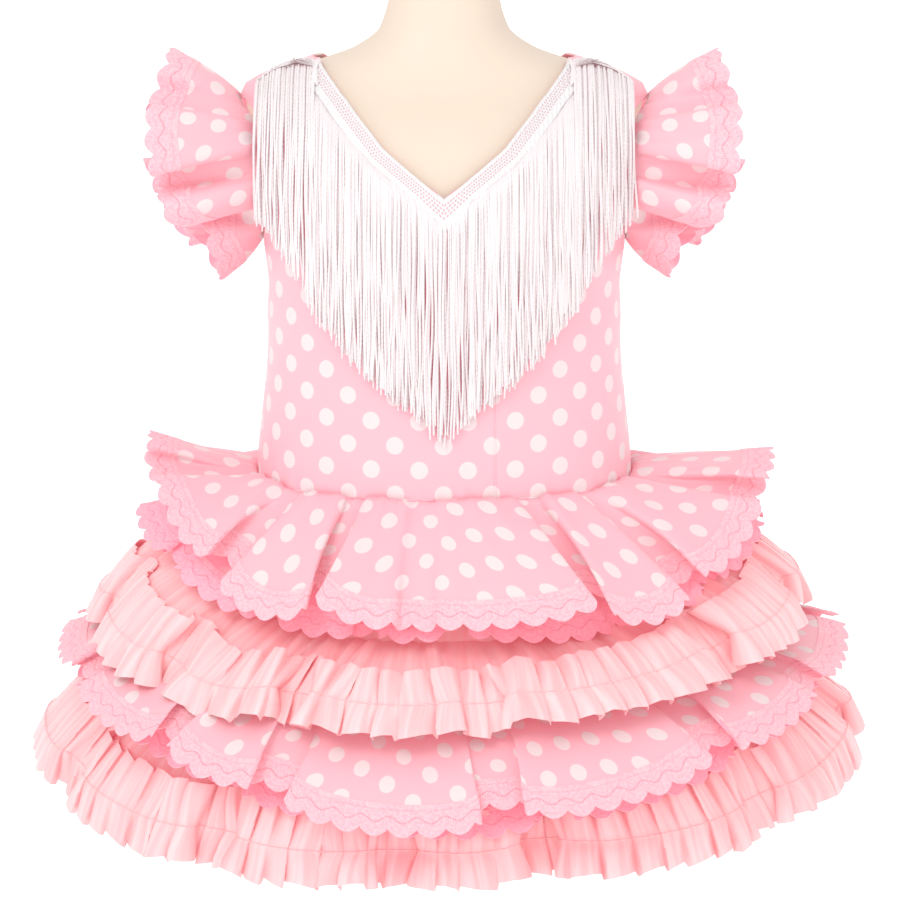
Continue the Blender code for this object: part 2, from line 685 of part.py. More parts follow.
def build_fringe(white):
    for name, side in (("fringe_front_right", -1), ("fringe_front_left", 1)):
        add_fringe(name, FRONT_BRAID, side, False, FRONT_LOCKS, white)
    for name, side in (("fringe_back_right", -1), ("fringe_back_left", 1)):
        add_fringe(name, BACK_BRAID, side, True, BACK_LOCKS, white)


def main():
    for old in list(bpy.data.objects):
        bpy.data.objects.remove(old)
    pink = material("dotted_pink", PINK, 0.55)
    peach = material("peach_organza", PEACH, 0.6)
    lace = material("pink_lace", LACE_PINK, 0.7)
    build_form(material("form_skin", SKIN, 0.45), material("stand_cream", STAND_CREAM, 0.5))
    build_bodice(pink)
    build_skirt(pink, peach, lace)
    build_sleeves(pink, lace)
    build_fringe(material("white_fringe", WHITE, 0.6))


main()
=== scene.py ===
import math
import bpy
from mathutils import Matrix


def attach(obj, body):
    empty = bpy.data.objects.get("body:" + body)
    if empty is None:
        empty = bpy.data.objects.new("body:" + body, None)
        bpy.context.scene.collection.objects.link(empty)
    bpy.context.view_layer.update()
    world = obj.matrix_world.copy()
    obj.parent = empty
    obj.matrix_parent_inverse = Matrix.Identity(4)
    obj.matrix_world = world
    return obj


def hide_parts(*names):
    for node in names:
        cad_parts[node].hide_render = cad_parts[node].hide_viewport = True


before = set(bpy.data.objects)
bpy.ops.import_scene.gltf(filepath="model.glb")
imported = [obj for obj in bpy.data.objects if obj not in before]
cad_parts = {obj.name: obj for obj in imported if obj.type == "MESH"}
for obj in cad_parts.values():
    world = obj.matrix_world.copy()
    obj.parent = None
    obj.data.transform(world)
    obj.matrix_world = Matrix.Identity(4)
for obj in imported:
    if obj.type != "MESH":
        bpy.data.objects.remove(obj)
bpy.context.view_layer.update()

from types import SimpleNamespace

import bmesh
import bpy
import numpy as np
from mathutils import Vector

TURN = 2 * math.pi

# Sizes are in metres. These are repeated from the part's own source
CLOTH = 0.0015
SEAM_GAP = 0.0003
HIP_SEAM = 0.2135
NECK_POINT = 0.4645
# Columns: level, half width, half depth, centre y
FORM_SECTIONS = (
    (0.1200, 0.0820, 0.0640, 0.000),
    (0.1240, 0.0960, 0.0750, 0.000),
    (0.1400, 0.1075, 0.0845, 0.000),
    (0.1850, 0.1106, 0.0865, 0.000),
    (0.2135, 0.1108, 0.0855, 0.000),
    (0.2880, 0.1048, 0.0820, 0.000),
    (0.3250, 0.1038, 0.0825, 0.000),
    (0.3580, 0.1062, 0.0830, 0.000),
    (0.3850, 0.1098, 0.0800, 0.001),
    (0.4150, 0.1150, 0.0720, 0.002),
    (0.4350, 0.1195, 0.0600, 0.004),
    (0.4460, 0.1200, 0.0500, 0.005),
    (0.4540, 0.1085, 0.0450, 0.006),
    (0.4610, 0.0900, 0.0420, 0.007),
    (0.4660, 0.0740, 0.0405, 0.008),
    (0.4730, 0.0545, 0.0390, 0.009),
    (0.4850, 0.0390, 0.0365, 0.010),
    (0.5050, 0.0335, 0.0340, 0.010),
    (0.5350, 0.0328, 0.0335, 0.010),
    (0.5420, 0.0312, 0.0315, 0.010),
    (0.5445, 0.0275, 0.0280, 0.010),
)
SQUARENESS = 2.25
EASE = ((0.2135, 0.0034), (0.2600, 0.0026), (0.3300, 0.0023), (0.4700, 0.0023))
# Columns: level, half opening
FRONT_NECK = (
    (0.3916, 0.0), (0.4000, 0.0130), (0.4183, 0.0364), (0.4370, 0.0531), (0.4560, 0.0690), (0.4645, 0.0745),
)
BACK_NECK = (
    (0.4280, 0.0), (0.4330, 0.0180), (0.4420, 0.0370), (0.4520, 0.0540), (0.4600, 0.0680), (0.4645, 0.0745),
)
ARMHOLE_LEVEL = 0.402
ARMHOLE_HALF_HEIGHT = 0.044
ARMHOLE_HALF_ANGLE = math.radians(21)
FRONT_SEAM_X = 0.030
ZIP_HALF_WIDTH = 0.003

# The base and post are turned to these profiles
# Columns: radius, level
STAND = {
    "stand_base": ((0.0, 0.0), (0.1035, 0.0), (0.1048, 0.0012), (0.105, 0.0030), (0.1044, 0.0052),
                   (0.1020, 0.0072), (0.0960, 0.0086), (0.0600, 0.0094), (0.0200, 0.0098), (0.0165, 0.0100),
                   (0.0, 0.0100)),
    "stand_post": ((0.0, 0.0100), (0.0160, 0.0101), (0.0165, 0.0125), (0.0158, 0.0140), (0.0118, 0.0146),
                   (0.0110, 0.0160), (0.0110, 0.1160), (0.0108, 0.1180), (0.0106, 0.1198), (0.0, 0.1199)),
}

# The flounces: where each is sewn on, its hem without folds, and its folds
# Columns: level, half width, half depth
UNDERSKIRT = (
    (0.1000, 0.1640, 0.1440), (0.1460, 0.1452, 0.1242), (0.1860, 0.1272, 0.1042), (0.2126, 0.1138, 0.0885),
)
TIER_COLUMNS = (
    "name", "top_clear", "top_side", "top_front", "hem_width", "hem_depth", "hem_side", "hem_front",
    "side_power", "shift", "tilt", "fold_depth", "fold_rise", "overhang", "fold_width", "lift", "arch_side",
    "arch_front", "back_drop",
)
TIERS = {
    row[0]: SimpleNamespace(**dict(zip(TIER_COLUMNS, row)))
    for row in (
        ("tier_1", 0.0015, 0.2129, 0.2129, 0.1830, 0.1500, 0.2160, 0.1570, 7.0,
         0.0090, 0.0060, 0.0170, -0.10, 0.165, 0.070, 0.0240, 0.10, 0.10, 0.075),
        ("tier_1_under", 0.0009, 0.2060, 0.2060, 0.1840, 0.1370, 0.1860, 0.1480, 7.0,
         0.0040, 0.0020, 0.0050, -0.80, 0.120, 0.050, 0.0100, 0.10, -0.05, 0.030),
        ("tier_2", 0.0014, 0.1900, 0.1380, 0.2120, 0.1860, 0.1390, 0.1120, 5.0,
         0.0030, -0.0060, 0.0095, -0.20, 0.075, 0.080, 0.0120, 0.30, 0.05, 0.0),
        ("tier_3", 0.00118, 0.1270, 0.1170, 0.2300, 0.2220, 0.1000, 0.0600, 2.0,
         0.0050, 0.0, 0.0120, 0.10, 0.150, 0.085, 0.0210, 0.20, 0.25, 0.0),
        ("tier_3_under", 0.0009, 0.1240, 0.1140, 0.2240, 0.2060, 0.0960, 0.0535, 2.0,
         0.0050, 0.0, 0.0050, -0.80, 0.120, 0.060, 0.0120, 0.10, 0.05, 0.0),
        ("tier_4", 0.00143, 0.1030, 0.0980, 0.2480, 0.2060, 0.0560, 0.0320, 6.0,
         0.0030, -0.0040, 0.0080, -0.20, 0.075, 0.090, 0.0080, 0.28, 0.20, 0.0),
    )
}
# Degrees from the middle of the front round by the wearer's left, strength, how far the fold after it hangs
CREASES = {
    "tier_1": (
        (-179, 1.0, 0), (-154, 0.8, 0), (-129, 1.1, 0), (-104, 0.9, 0), (-79, 0.7, 0.004), (-54, 0.9, 0.013),
        (-31, 1.25, 0.003), (-10, 0.2, 0), (30, 1.3, 0.008), (51, 0.9, 0), (75, 0.8, 0), (101, 1.1, 0),
        (128, 0.8, 0), (155, 1.2, 0),
    ),
    "tier_2": (
        (-172, 1.0, 0), (-142, 0.8, 0), (-111, 1.1, 0), (-80, 0.9, 0), (-54, 1.0, 0.003), (-28, 1.6, 0.004),
        (6, 1.0, 0), (52, 1.5, 0), (80, 0.9, 0), (104, 1.0, 0), (130, 0.8, 0), (159, 1.1, 0),
    ),
    "tier_3": (
        (-170, 1.0, 0), (-146, 0.8, 0), (-121, 1.1, 0), (-97, 0.9, 0), (-71, 0.8, 0.003), (-45, 1.1, 0),
        (-27, 0.8, 0.005), (7, 0.95, 0), (41, 1.05, 0), (66, 0.8, 0), (92, 1.1, 0), (117, 0.8, 0),
        (141, 1.2, 0), (165, 0.9, 0),
    ),
    "tier_4": (
        (-160, 1.0, 0), (-131, 0.9, 0), (-99, 1.1, 0), (-70, 0.8, 0), (-38, 1.0, 0), (-8, 0.7, 0),
        (14, 1.4, 0), (53, 0.9, 0), (83, 1.1, 0), (112, 0.8, 0), (143, 1.0, 0), (171, 0.9, 0),
    ),
}
for upper, shift in (("tier_1", 11), ("tier_3", 9)):
    CREASES[upper + "_under"] = tuple((a + shift, 2.0 - s, 0) for a, s, _ in CREASES[upper])
CREASE_SHARPNESS = 2.4
FLANK_WARP = 1.71
HEM_ARC = 1.3

# The sleeve's hem without folds, its folds, and the places where its hem is pushed along x, y and z
SLEEVE = SimpleNamespace(
    centre_x=0.1450, lean=0.0130, belly=0.0200, half_depth=0.0520, half_height=0.0530, centre_level=0.4060,
    twist=0.30, puff=0.35, inset=0.0036,
    fold_depth=0.0125, fold_rise=0.10, overhang=0.12, fold_width=1.0, lift=0.0,
)
SLEEVE_CREASES = (
    (-132, 0.9, 0), (-82, 1.2, 0), (-34, 0.6, 0), (28, 0.7, 0), (72, 1.0, 0), (115, 1.1, 0), (160, 0.8, 0),
)
# Columns: degrees, width, x, y, z
SLEEVE_PUSHES = (
    (130, 32, -0.0040, 0.0050, 0.0160), (192, 36, -0.0040, 0.0, -0.0070), (226, 36, 0.0180, 0.0, 0.0040),
)

# Walls of fine cloth, and the edgings
BODICE_WALL = 0.0012
ZIP_WALL = 0.0009
RUFFLE_WALL = 0.0006
LACE_WALL = 0.0005
STRIP_WALL = 0.0004
HEM_TURN = 0.0005
LACE_GAP = 0.0007
LACE_ABOVE = 0.0085
LACE_DEPTH = 0.0085
LACE_SCALLOP = 0.0035
LACE_LIFT = 0.0004
LACE_CURL = 0.0006
SCALLOP_WIDTH = 0.0158
SCALLOP_COLUMNS = 10
LACE_ROWS_BELOW = (0.35, 0.7, 0.92, 1.0)
PLEAT_WIDTH = 0.0160
PLEAT_COLUMNS = 16
PLEAT_RISE = 0.0055
# Each pleat's width and height, from and to, as shares of the usual ones
PLEAT_WIDTHS = (0.62, 1.38)
PLEAT_HEIGHTS = (0.55, 1.30)
PLEAT_SLIP = 0.34
PINCH_OPEN = 0.14
EDGE_LIFT = 0.0014
EDGE_LIFT_UNEVEN = 0.0012
EDGE_SLANT = 0.0036
EDGE_UNEVEN = 0.0016
# The strip's rows, from its upper edge at -1 by the pinch at 0 to its lower edge
STRIP_PLACES = (-1.0, -0.9, -0.7, -0.4, -0.15, 0.0, 0.15, 0.4, 0.7, 0.9, 1.0)
FRILL_ABOVE = 0.024
FRILL_BELOW = 0.020
FRILL_CLEAR = 0.0011
STRIP_HANG = 0.45
STRIP_HANG_BESIDE = 0.35
STRIP_FLARE = 0.000625
THREAD_RADIUS = 0.00032

# Small waves: how many there are a turn, their depth, and for gathers how far down the cloth they reach
TIER_GATHERS = ((38, 53, 67, 91), 0.0010, 0.75)
TIER_FLUTTER = ((17, 23, 31), 0.0009)
SLEEVE_GATHERS = ((17, 26, 35, 47), 0.0009, 0.8)
SLEEVE_FLUTTER = ((11, 15, 19), 0.0010)
SHEER_GATHERS = ((47, 61, 83, 109), 0.0026, 1.9)
FIRST_TIER_PUFF = 0.0046

# The braid's upper edge as x and level, on one side, and the strands below it
FRONT_BRAID = (
    (0.0004, 0.3905), (0.0130, 0.4000), (0.0364, 0.4183), (0.0531, 0.4370), (0.0690, 0.4560),
    (0.0750, 0.4625), (0.0900, 0.4612), (0.1040, 0.4555), (0.1130, 0.4490),
)
BACK_BRAID = ((0.0036, 0.4270), (0.0180, 0.4330), (0.0370, 0.4420), (0.0540, 0.4520), (0.0680, 0.4600))
BRAID_WIDTH = 0.0118
BRAID_THICK = 0.0010
BRAID_CORNER = 0.709
BRAID_LIFT = 0.0006
BRAID_LIFT_OUTSIDE = 0.0010
BRAID_RIB = 0.00015
BRAID_RIB_STEP = 0.0024
BRAID_LAP = 0.0007
BRAID_PROFILE = (
    0.0004, 0.0011, 0.0006, 0.0002, 0.0003, 0.0002, 0.0003, 0.0002, 0.0003, 0.0005, 0.0003,
)
LOCK_LENGTH = 0.137
STRAND_LENGTH = LOCK_LENGTH - BRAID_WIDTH + 0.0016
STRAND_LONGER_BEYOND = 0.006
STRAND_UNEVEN = 0.0022
STRAND_BEND = 0.0010
STRAND_LAYER = 0.0009
# Columns: depth, and rate in radians a metre
STRAND_WAVES = ((0.0009, 70), (0.0007, 31))
HALF_CHEST = 0.09
LOCK_SHORTER = 1.7
LOCK_CLEAR = 0.0016
LOCK_CLEAR_OUTSIDE = 0.0042
SHOULDER_START = 0.0775
STRAND_WIDTH = 0.0015
ROOT_UNDER = 0.0028
ROOT_HIGHER = 0.0090
# Columns: name, side, back, strands, seed
FRINGES = (
    ("fringe_front_right", -1, False, 225, 41), ("fringe_front_left", 1, False, 225, 42),
    ("fringe_back_right", -1, True, 110, 43), ("fringe_back_left", 1, True, 110, 44),
)

# The print, and the colours, as linear values
DOT_DIAMETER = 0.0105
DOT_STEP = 0.02043
PINK = (0.83, 0.445, 0.500, 1)
# Painted shade: the cloth's wrong side is a deeper, more saturated pink than the outside, as it lies in shade
# inside the folds
SHADED_INSIDE_PINK = (0.88, 0.390, 0.480, 1)
# Painted shade: the lace of the under layers is a deeper pink, as it hangs in the shade under the tiers
SHADED_UNDER_LACE = (0.90, 0.470, 0.560, 1)
DOT_WHITE = (0.70, 0.640, 0.640, 1)
PEACH = (0.88, 0.590, 0.595, 1)
PEACH_SHADE = (0.89, 0.475, 0.485, 1)
LACE_PINK = (0.88, 0.520, 0.580, 1)
LACE_SHADE = (0.86, 0.430, 0.490, 1)
DEEP_PINK = (0.75, 0.20, 0.28, 1)
EYELET_PINK = (0.85, 0.40, 0.48, 1)
FRINGE_WHITE = (0.75, 0.730, 0.735, 1)
FRINGE_SHADE = (0.73, 0.690, 0.698, 1)
SKIN = (0.75, 0.625, 0.515, 1)
STAND_CREAM = (0.86, 0.80, 0.72, 1)
FLOOR_GREY = (0.42, 0.42, 0.42, 1)
WHITE = (1.0, 1.0, 1.0, 1)
# Painted glow: a small pink emission on the cloth, which is no lamp, stands in for the light that comes
# through the thin cloth from behind and the light bounced between its folds, so its shade stays pink
PAINTED_GLOW_COLOUR = (1.0, 0.22, 0.28, 1)
PAINTED_GLOW = 0.12

# The room
FLOOR_HALF = 40
FLOOR_GLOW = 0.95
WORLD_LIGHT = 1.0
# Columns: name, place, size, power
LAMPS = (
    ("key", (-1.0, -1.5, 1.9), 1.0, 14.0), ("fill", (1.4, -1.4, 1.1), 1.6, 2.0),
    ("front", (0.3, -2.6, 0.45), 1.8, 4.5),
)
LAMP_TARGET = (0, 0, 0.25)
CAMERA_RISE = math.radians(12)
CAMERA_DISTANCE = 1.9
CAMERA_TARGET = (0.0035, 0.0, 0.225)
CAMERA_LENS = 122.6


# Curves and surfaces. Every argument may be a number or an array


def between(first, last, share):
    return first + (last - first) * share


def hump(x, middle, width):
    return np.exp(-((x - middle) / width) ** 2)


def unit(vectors):
    return vectors / np.maximum(np.linalg.norm(vectors, axis=-1, keepdims=True), 1e-12)


def stacked(*parts):
    """Numbers or arrays of any shapes that match, as the coordinates of points."""
    return np.stack(np.broadcast_arrays(*parts), axis=-1)


def curve(table, x, column=1):
    """A column of a table at x, on a curve through its rows that never overshoots them."""
    xs, ys = np.array(table).T[[0, column]]
    x = np.clip(x, xs[0], xs[-1])
    slopes = np.diff(ys) / np.diff(xs)
    before, after = np.append(slopes[0], slopes), np.append(slopes, slopes[-1])
    total = np.where(before + after == 0, 1, before + after)
    tangents = np.where(before * after > 0, 2 * before * after / total, 0)
    i = np.clip(np.searchsorted(xs, x, "right") - 1, 0, len(slopes) - 1)
    width = xs[i + 1] - xs[i]
    t = (x - xs[i]) / width
    return (
        ys[i] * (1 + 2 * t) * (1 - t) ** 2
        + ys[i + 1] * t * t * (3 - 2 * t)
        + width * (tangents[i] * t * (1 - t) ** 2 - tangents[i + 1] * t * t * (1 - t))
    )


def ring_point(half_width, half_depth, centre_y, level, angle, squareness=SQUARENESS):
    sine, cosine = np.sin(angle), np.cos(angle)
    reach = (np.abs(sine) / half_width) ** squareness + (np.abs(cosine) / half_depth) ** squareness
    reach = reach ** (-1 / squareness)
    return stacked(reach * sine, centre_y - reach * cosine, level)


def form_point(angle, level):
    return ring_point(*(curve(FORM_SECTIONS, level, c) for c in (1, 2, 3)), level, angle)


def on_form(angle, level, lift):
    """The point at that angle and level of the form, moved out along the form's normal."""
    step = 1e-4
    across = form_point(angle + step, level) - form_point(angle - step, level)
    upward = form_point(angle, level + step) - form_point(angle, level - step)
    return form_point(angle, level) + unit(np.cross(across, upward)) * np.asarray(lift)[..., None]


def angle_at_x(x, level, lift):
    """The angle, between the centre and the side, where the lifted surface reaches that x."""
    x, level, lift = np.broadcast_arrays(np.asarray(x, float), level, lift)
    low, high = np.zeros(x.shape), np.full(x.shape, math.pi / 2)
    for _ in range(26):
        middle = (low + high) / 2
        short = on_form(middle, level, lift)[..., 0] < x
        low, high = np.where(short, middle, low), np.where(short, high, middle)
    return (low + high) / 2


def lift_at(level):
    return curve(EASE, level) + CLOTH


def armhole_angle(level):
    share = (level - ARMHOLE_LEVEL) / ARMHOLE_HALF_HEIGHT
    return ARMHOLE_HALF_ANGLE * np.sqrt(np.maximum(0.0, 1 - share * share))


def folded(middle, creases, shape, turns, reaches):
    """Rows of gathered cloth, one for each reach from its seam to its hem, with a point for each turn round
    it: middle gives the cloth without its folds, at an angle and a reach. A fold swells outwards, the more
    the further it is from the gathers, and leans over the creases on both its sides. A crease is no wider
    than that of a fold of the shape's width at the hem."""
    turn, reach = turns[None, :], reaches[:, None]
    table = np.array(creases, float)
    places = np.radians(np.append(table[:, 0], table[0, 0] + 360))
    shares = np.append(table[:, 1], table[0, 1])
    position = (turn % 1) * len(table)
    fold = np.minimum(position.astype(int), len(table) - 1)
    within = position - fold
    angle = between(places[fold], places[fold + 1], within)
    strength = between(shares[fold], shares[fold + 1], (3 - 2 * within) * within * within)
    growth = np.maximum(reach, 0.0) ** 0.9
    step = 1e-3
    across = unit(middle(angle + step, reach) - middle(angle - step, reach))
    onward = middle(angle, reach + step) - middle(angle, reach - step)
    normal = unit(np.cross(onward, across))
    spacing = np.linalg.norm(middle(places[fold + 1], reach) - middle(places[fold], reach), axis=-1)
    at_hem = steps(middle(places, 1.0))
    broad = np.maximum(1.0, at_hem[fold] / shape.fold_width)
    crest = 1 - np.abs(2 * within - 1) ** broad
    flank = np.sin(TURN * (1 - (1 - crest) ** FLANK_WARP)) * np.sign(0.5 - within)
    sway = shape.overhang * spacing / broad * np.minimum(strength, 1.3) * growth * flank
    wave = 0.5 + 0.5 * np.cos(math.pi * crest)
    valley = wave ** CREASE_SHARPNESS
    swell = shape.fold_rise + strength * (1 - 2 * valley)
    early = np.where(swell > 0, np.maximum(reach, 0.0) ** 0.65, growth)
    swell = shape.fold_depth * early * swell
    moved = middle(angle, reach) + normal * swell[..., None] + across * sway[..., None]
    moved[..., 2] += (shape.lift * strength * wave ** HEM_ARC - table[fold, 2] * (1 - valley)) * growth
    return moved


def tier_middle(tier, angle, reach):
    """A flounce's cloth without its folds, from its seam to its hem."""
    beside = np.abs(np.sin(angle)) ** tier.side_power
    top_level = between(tier.top_front, tier.top_side, beside)
    width, depth = (curve(UNDERSKIRT, top_level, c) + tier.top_clear for c in (1, 2))
    top = ring_point(width, depth, 0, top_level, angle)
    behind = np.maximum(0.0, -np.cos(angle))
    hem_level = between(tier.hem_front, tier.hem_side, beside) - tier.back_drop * behind * (1 - behind)
    hem = ring_point(tier.hem_width, tier.hem_depth, 0, hem_level - tier.tilt * np.sin(angle), angle, 2)
    hem = hem + np.array([tier.shift, 0, 0])
    bow = between(tier.arch_front, tier.arch_side, beside) * reach * (1 - reach)
    return between(top, hem, stacked(reach + bow, reach + bow, reach - bow))


def tier_surface(name, turns, reaches):
    tier = TIERS[name]
    return folded(lambda angle, down: tier_middle(tier, angle, down), CREASES[name], tier, turns, reaches)


def sleeve_middle(angle, reach):
    """The left sleeve's cloth without its folds, from armhole to hem. The angle is from its top forward."""
    level = ARMHOLE_LEVEL + (ARMHOLE_HALF_HEIGHT - SLEEVE.inset) * np.cos(angle)
    inset = SLEEVE.inset / form_point(math.pi / 2, ARMHOLE_LEVEL)[0]
    around = math.pi / 2 - (ARMHOLE_HALF_ANGLE - inset) * np.sin(angle)
    start = on_form(around, level, lift_at(level) - CLOTH / 2)

    def near(degrees, width):
        return hump((angle - math.radians(degrees) + math.pi) % TURN, math.pi, math.radians(width))

    # The cloth twists a little downward in front, so its creases slope
    low = angle + SLEEVE.twist * near(90, 60)
    end = stacked(
        SLEEVE.centre_x + SLEEVE.lean * np.cos(low) + SLEEVE.belly * np.sin(low) ** 2,
        -SLEEVE.half_depth * np.sin(low),
        SLEEVE.centre_level + SLEEVE.half_height * np.cos(low),
    )
    for degrees, width, *push in SLEEVE_PUSHES:
        end = end + near(degrees, width)[..., None] * np.array(push)
    puff = SLEEVE.puff * reach * (1 - reach)
    return between(start, end, stacked(reach, reach + puff, reach + puff))


def sleeve_surface(side, turns, reaches):
    """The left sleeve's cloth, or its mirror image on the side -1. Its turns go from its top by the back."""
    point = folded(lambda angle, out: sleeve_middle(-angle, out), SLEEVE_CREASES, SLEEVE, turns, reaches)
    return point * np.array([side, 1.0, 1.0])


# Grids of points, as rows down the cloth and columns across it, and meshes over them


def steps(points, axis=0):
    """The distances between neighbours along an axis of a grid."""
    return np.linalg.norm(np.diff(points, axis=axis), axis=-1)


def runs(points, axis=0):
    """How far along an axis of a grid each of its points lies."""
    lengths = steps(points, axis)
    return np.concatenate([np.zeros_like(lengths.take([0], axis)), lengths.cumsum(axis)], axis)


def closed_on(points, axis=0):
    return np.concatenate([points, points.take([0], axis)], axis)


def cells(rows, columns):
    """The rows and the columns of the corners of each cell, where a grid has that many cells each way."""
    r, c = (place.reshape(-1, 1) for place in np.mgrid[:rows, :columns])
    return r + np.array([0, 0, 1, 1]), c + np.array([0, 1, 1, 0])


def outward(grid, closed=True, flip=False):
    """Unit normals out of a grid's face side: away from across x down, or towards it where flip is set."""
    if closed:
        across = np.roll(grid, -1, axis=1) - np.roll(grid, 1, axis=1)
    else:
        across = np.gradient(grid, axis=1)
    return unit(np.cross(across, np.gradient(grid, axis=0))) * (1.0 if flip else -1.0)


def placed(name, data):
    made = bpy.data.objects.new(name, data)
    bpy.context.scene.collection.objects.link(made)
    return made


def new_object(name, points, faces, material, uvs=None):
    """A mesh object. uvs maps a layer's name to one coordinate for each corner of each face, in order."""
    mesh = bpy.data.meshes.new(name)
    mesh.from_pydata(points.tolist(), [], faces)
    mesh.validate()
    for layer, corners in (uvs or {}).items():
        mesh.uv_layers.new(name=layer).data.foreach_set("uv", np.asarray(corners, np.float32).ravel())
    mesh.shade_smooth()
    mesh.set_sharp_from_angle(angle=math.radians(62))
    mesh.materials.append(material)
    return placed(name, mesh)


def face_outwards(made, weld=None):
    """Turns a closed mesh's faces outwards, and joins its points that lie closer than weld."""
    mend = bmesh.new()
    mend.from_mesh(made.data)
    if weld:
        bmesh.ops.remove_doubles(mend, verts=mend.verts, dist=weld)
    bmesh.ops.recalc_face_normals(mend, faces=mend.faces)
    mend.to_mesh(made.data)
    mend.free()
    made.data.shade_smooth()


def cloth_wall(name, grid, thickness, material, uvs, closed=True, flip=False, wrong_side=None):
    """A thin closed wall under a grid of points. uvs maps a layer to a grid of coordinates, which has one
    more column than a closed grid has."""
    rows, columns = grid.shape[:2]
    points = np.stack([grid, grid - outward(grid, closed, flip) * thickness])
    wide = columns if closed else columns - 1
    r, c = cells(rows - 1, wide)
    edges = [[(0, k) for k in range(wide + 1)], [(rows - 1, k) for k in range(wide, -1, -1)]]
    if not closed:
        edges += [[(k, 0) for k in range(rows - 1, -1, -1)], [(k, columns - 1) for k in range(rows)]]
    # Each corner of a face as its side of the wall, its row and its column
    faces = np.concatenate([
        stacked(0, r, c), stacked(1, r, c)[:, ::-1],
        [[(0, *b), (0, *a), (1, *a), (1, *b)] for edge in edges for a, b in zip(edge, edge[1:])],
    ])
    side, r, c = np.moveaxis(faces if flip else faces[:, ::-1], -1, 0)
    corners = (side * rows + r) * columns + c % columns
    layers = {layer: values[r, c] for layer, values in uvs.items()}
    made = new_object(name, points.reshape(-1, 3), corners.tolist(), material, layers)
    if wrong_side:
        made.data.materials.append(wrong_side)
        made.data.polygons.foreach_set("material_index", side.min(axis=1).astype(np.int32))
    return made


def dress(piece, slot, *nodes):
    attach(piece, "root")
    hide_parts(*nodes)


def declare(piece, slot, node, grid, closed=True):
    """Attaches the piece to the root and hides the part it stands for."""
    dress(piece, slot, node)
    whole = closed_on(grid, 1) if closed else grid


# Materials


def toned(colour, factor):
    return (*(c * factor for c in colour[:3]), 1)


class Nodes:
    """A short way to lay out a material's nodes."""

    def __init__(self, name):
        self.material = bpy.data.materials.new(name)
        self.material.use_nodes = True
        self.tree = self.material.node_tree
        self.shader = self.tree.nodes["Principled BSDF"]

    def feed(self, node, key, value):
        if isinstance(value, bpy.types.NodeSocket):
            self.tree.links.new(value, node.inputs[key])
        else:
            node.inputs[key].default_value = value

    def add(self, kind, settings=None, **inputs):
        """A node with settings, and its inputs by name, or as i0, i1 and so on by number."""
        node = self.tree.nodes.new(kind)
        for key, value in (settings or {}).items():
            setattr(node, key, value)
        for key, value in inputs.items():
            self.feed(node, int(key[1:]) if key[1:].isdigit() else key.replace("_", " "), value)
        return node

    def math(self, operation, a, b=0.0, c=0.0):
        return self.add("ShaderNodeMath", {"operation": operation}, i0=a, i1=b, i2=c).outputs[0]

    def vector(self, operation, a, b=(0, 0, 0), c=(0, 0, 0)):
        return self.add("ShaderNodeVectorMath", {"operation": operation}, i0=a, i1=b, i2=c).outputs[0]

    def away(self, value, middle):
        return self.math("ABSOLUTE", self.math("SUBTRACT", value, middle))

    def step(self, value, low, high, start=0.0, end=1.0):
        """From start to end as value goes from low to high, smoothly."""
        kind = {"interpolation_type": "SMOOTHSTEP"}
        return self.add("ShaderNodeMapRange", kind, i0=value, i1=low, i2=high, i3=start, i4=end).outputs[0]

    def holes(self, off, place, far, share, inner, outer):
        """A share inside holes and 0 outside: off is the way from their row's middle, place counts them."""
        beside = self.away(self.math("FRACT", place), 0.5)
        row = self.step(off, far[0], far[1], share, 0.0)
        return self.math("MULTIPLY", row, self.step(beside, inner, outer, 1.0, 0.0))

    def mix(self, share, a, b):
        return self.add("ShaderNodeMix", {"data_type": "RGBA"}, i0=share, i6=a, i7=b).outputs[2]

    def noise(self, vector, scale, detail=2.0, output="Fac"):
        return self.add("ShaderNodeTexNoise", Vector=vector, Scale=scale, Detail=detail).outputs[output]

    def streaks(self, vector, stretch, scale, detail):
        mapped = self.add("ShaderNodeMapping", Vector=vector, Scale=(1.0, stretch, 1.0)).outputs[0]
        return self.noise(mapped, scale, detail)

    def twill(self, vector, scale, distortion):
        kind = {"bands_direction": "DIAGONAL"}
        wave = self.add("ShaderNodeTexWave", kind, Vector=vector, Scale=scale, Distortion=distortion)
        return wave.outputs["Fac"]

    def uv(self, layer="cloth"):
        return self.add("ShaderNodeUVMap", {"uv_map": layer}).outputs[0]

    def place(self):
        return self.add("ShaderNodeNewGeometry").outputs["Position"]

    def parts(self, vector):
        return self.add("ShaderNodeSeparateXYZ", i0=vector).outputs

    def bump(self, height, distance, strength=1.0, **normal):
        bump = self.add("ShaderNodeBump", Height=height, Distance=distance, Strength=strength, **normal)
        return bump.outputs[0]

    def finish(self, colour, roughness, glow=None, **sockets):
        # A glow adds the painted glow: an emission in the painted glow colour
        if glow:
            sockets.update(Emission_Color=PAINTED_GLOW_COLOUR, Emission_Strength=glow)
        for key, value in {"Base Color": colour, "Roughness": roughness, **sockets}.items():
            self.feed(self.shader, key.replace("_", " "), value)
        return self.material


def dot_share(n, uv):
    """1 inside a printed dot and 0 outside it, in rows that alternate by half a step."""
    turned = n.add("ShaderNodeMapping", Vector=uv, Rotation=(0, 0, math.radians(45)),
                   Scale=[1 / DOT_STEP] * 3)
    wobble = n.noise(uv, 420.0, 1.0, "Color")
    cell = n.vector("FRACTION", n.vector("MULTIPLY_ADD", wobble, (0.02, 0.02, 0), turned.outputs[0]))
    flat = n.vector("MULTIPLY", n.vector("SUBTRACT", cell, (0.5, 0.5, 0)), (1, 1, 0))
    away = n.add("ShaderNodeVectorMath", {"operation": "LENGTH"}, i0=flat).outputs["Value"]
    radius = DOT_DIAMETER / 2 / DOT_STEP
    return n.step(away, radius - 0.018, radius + 0.018, 1.0, 0.0)


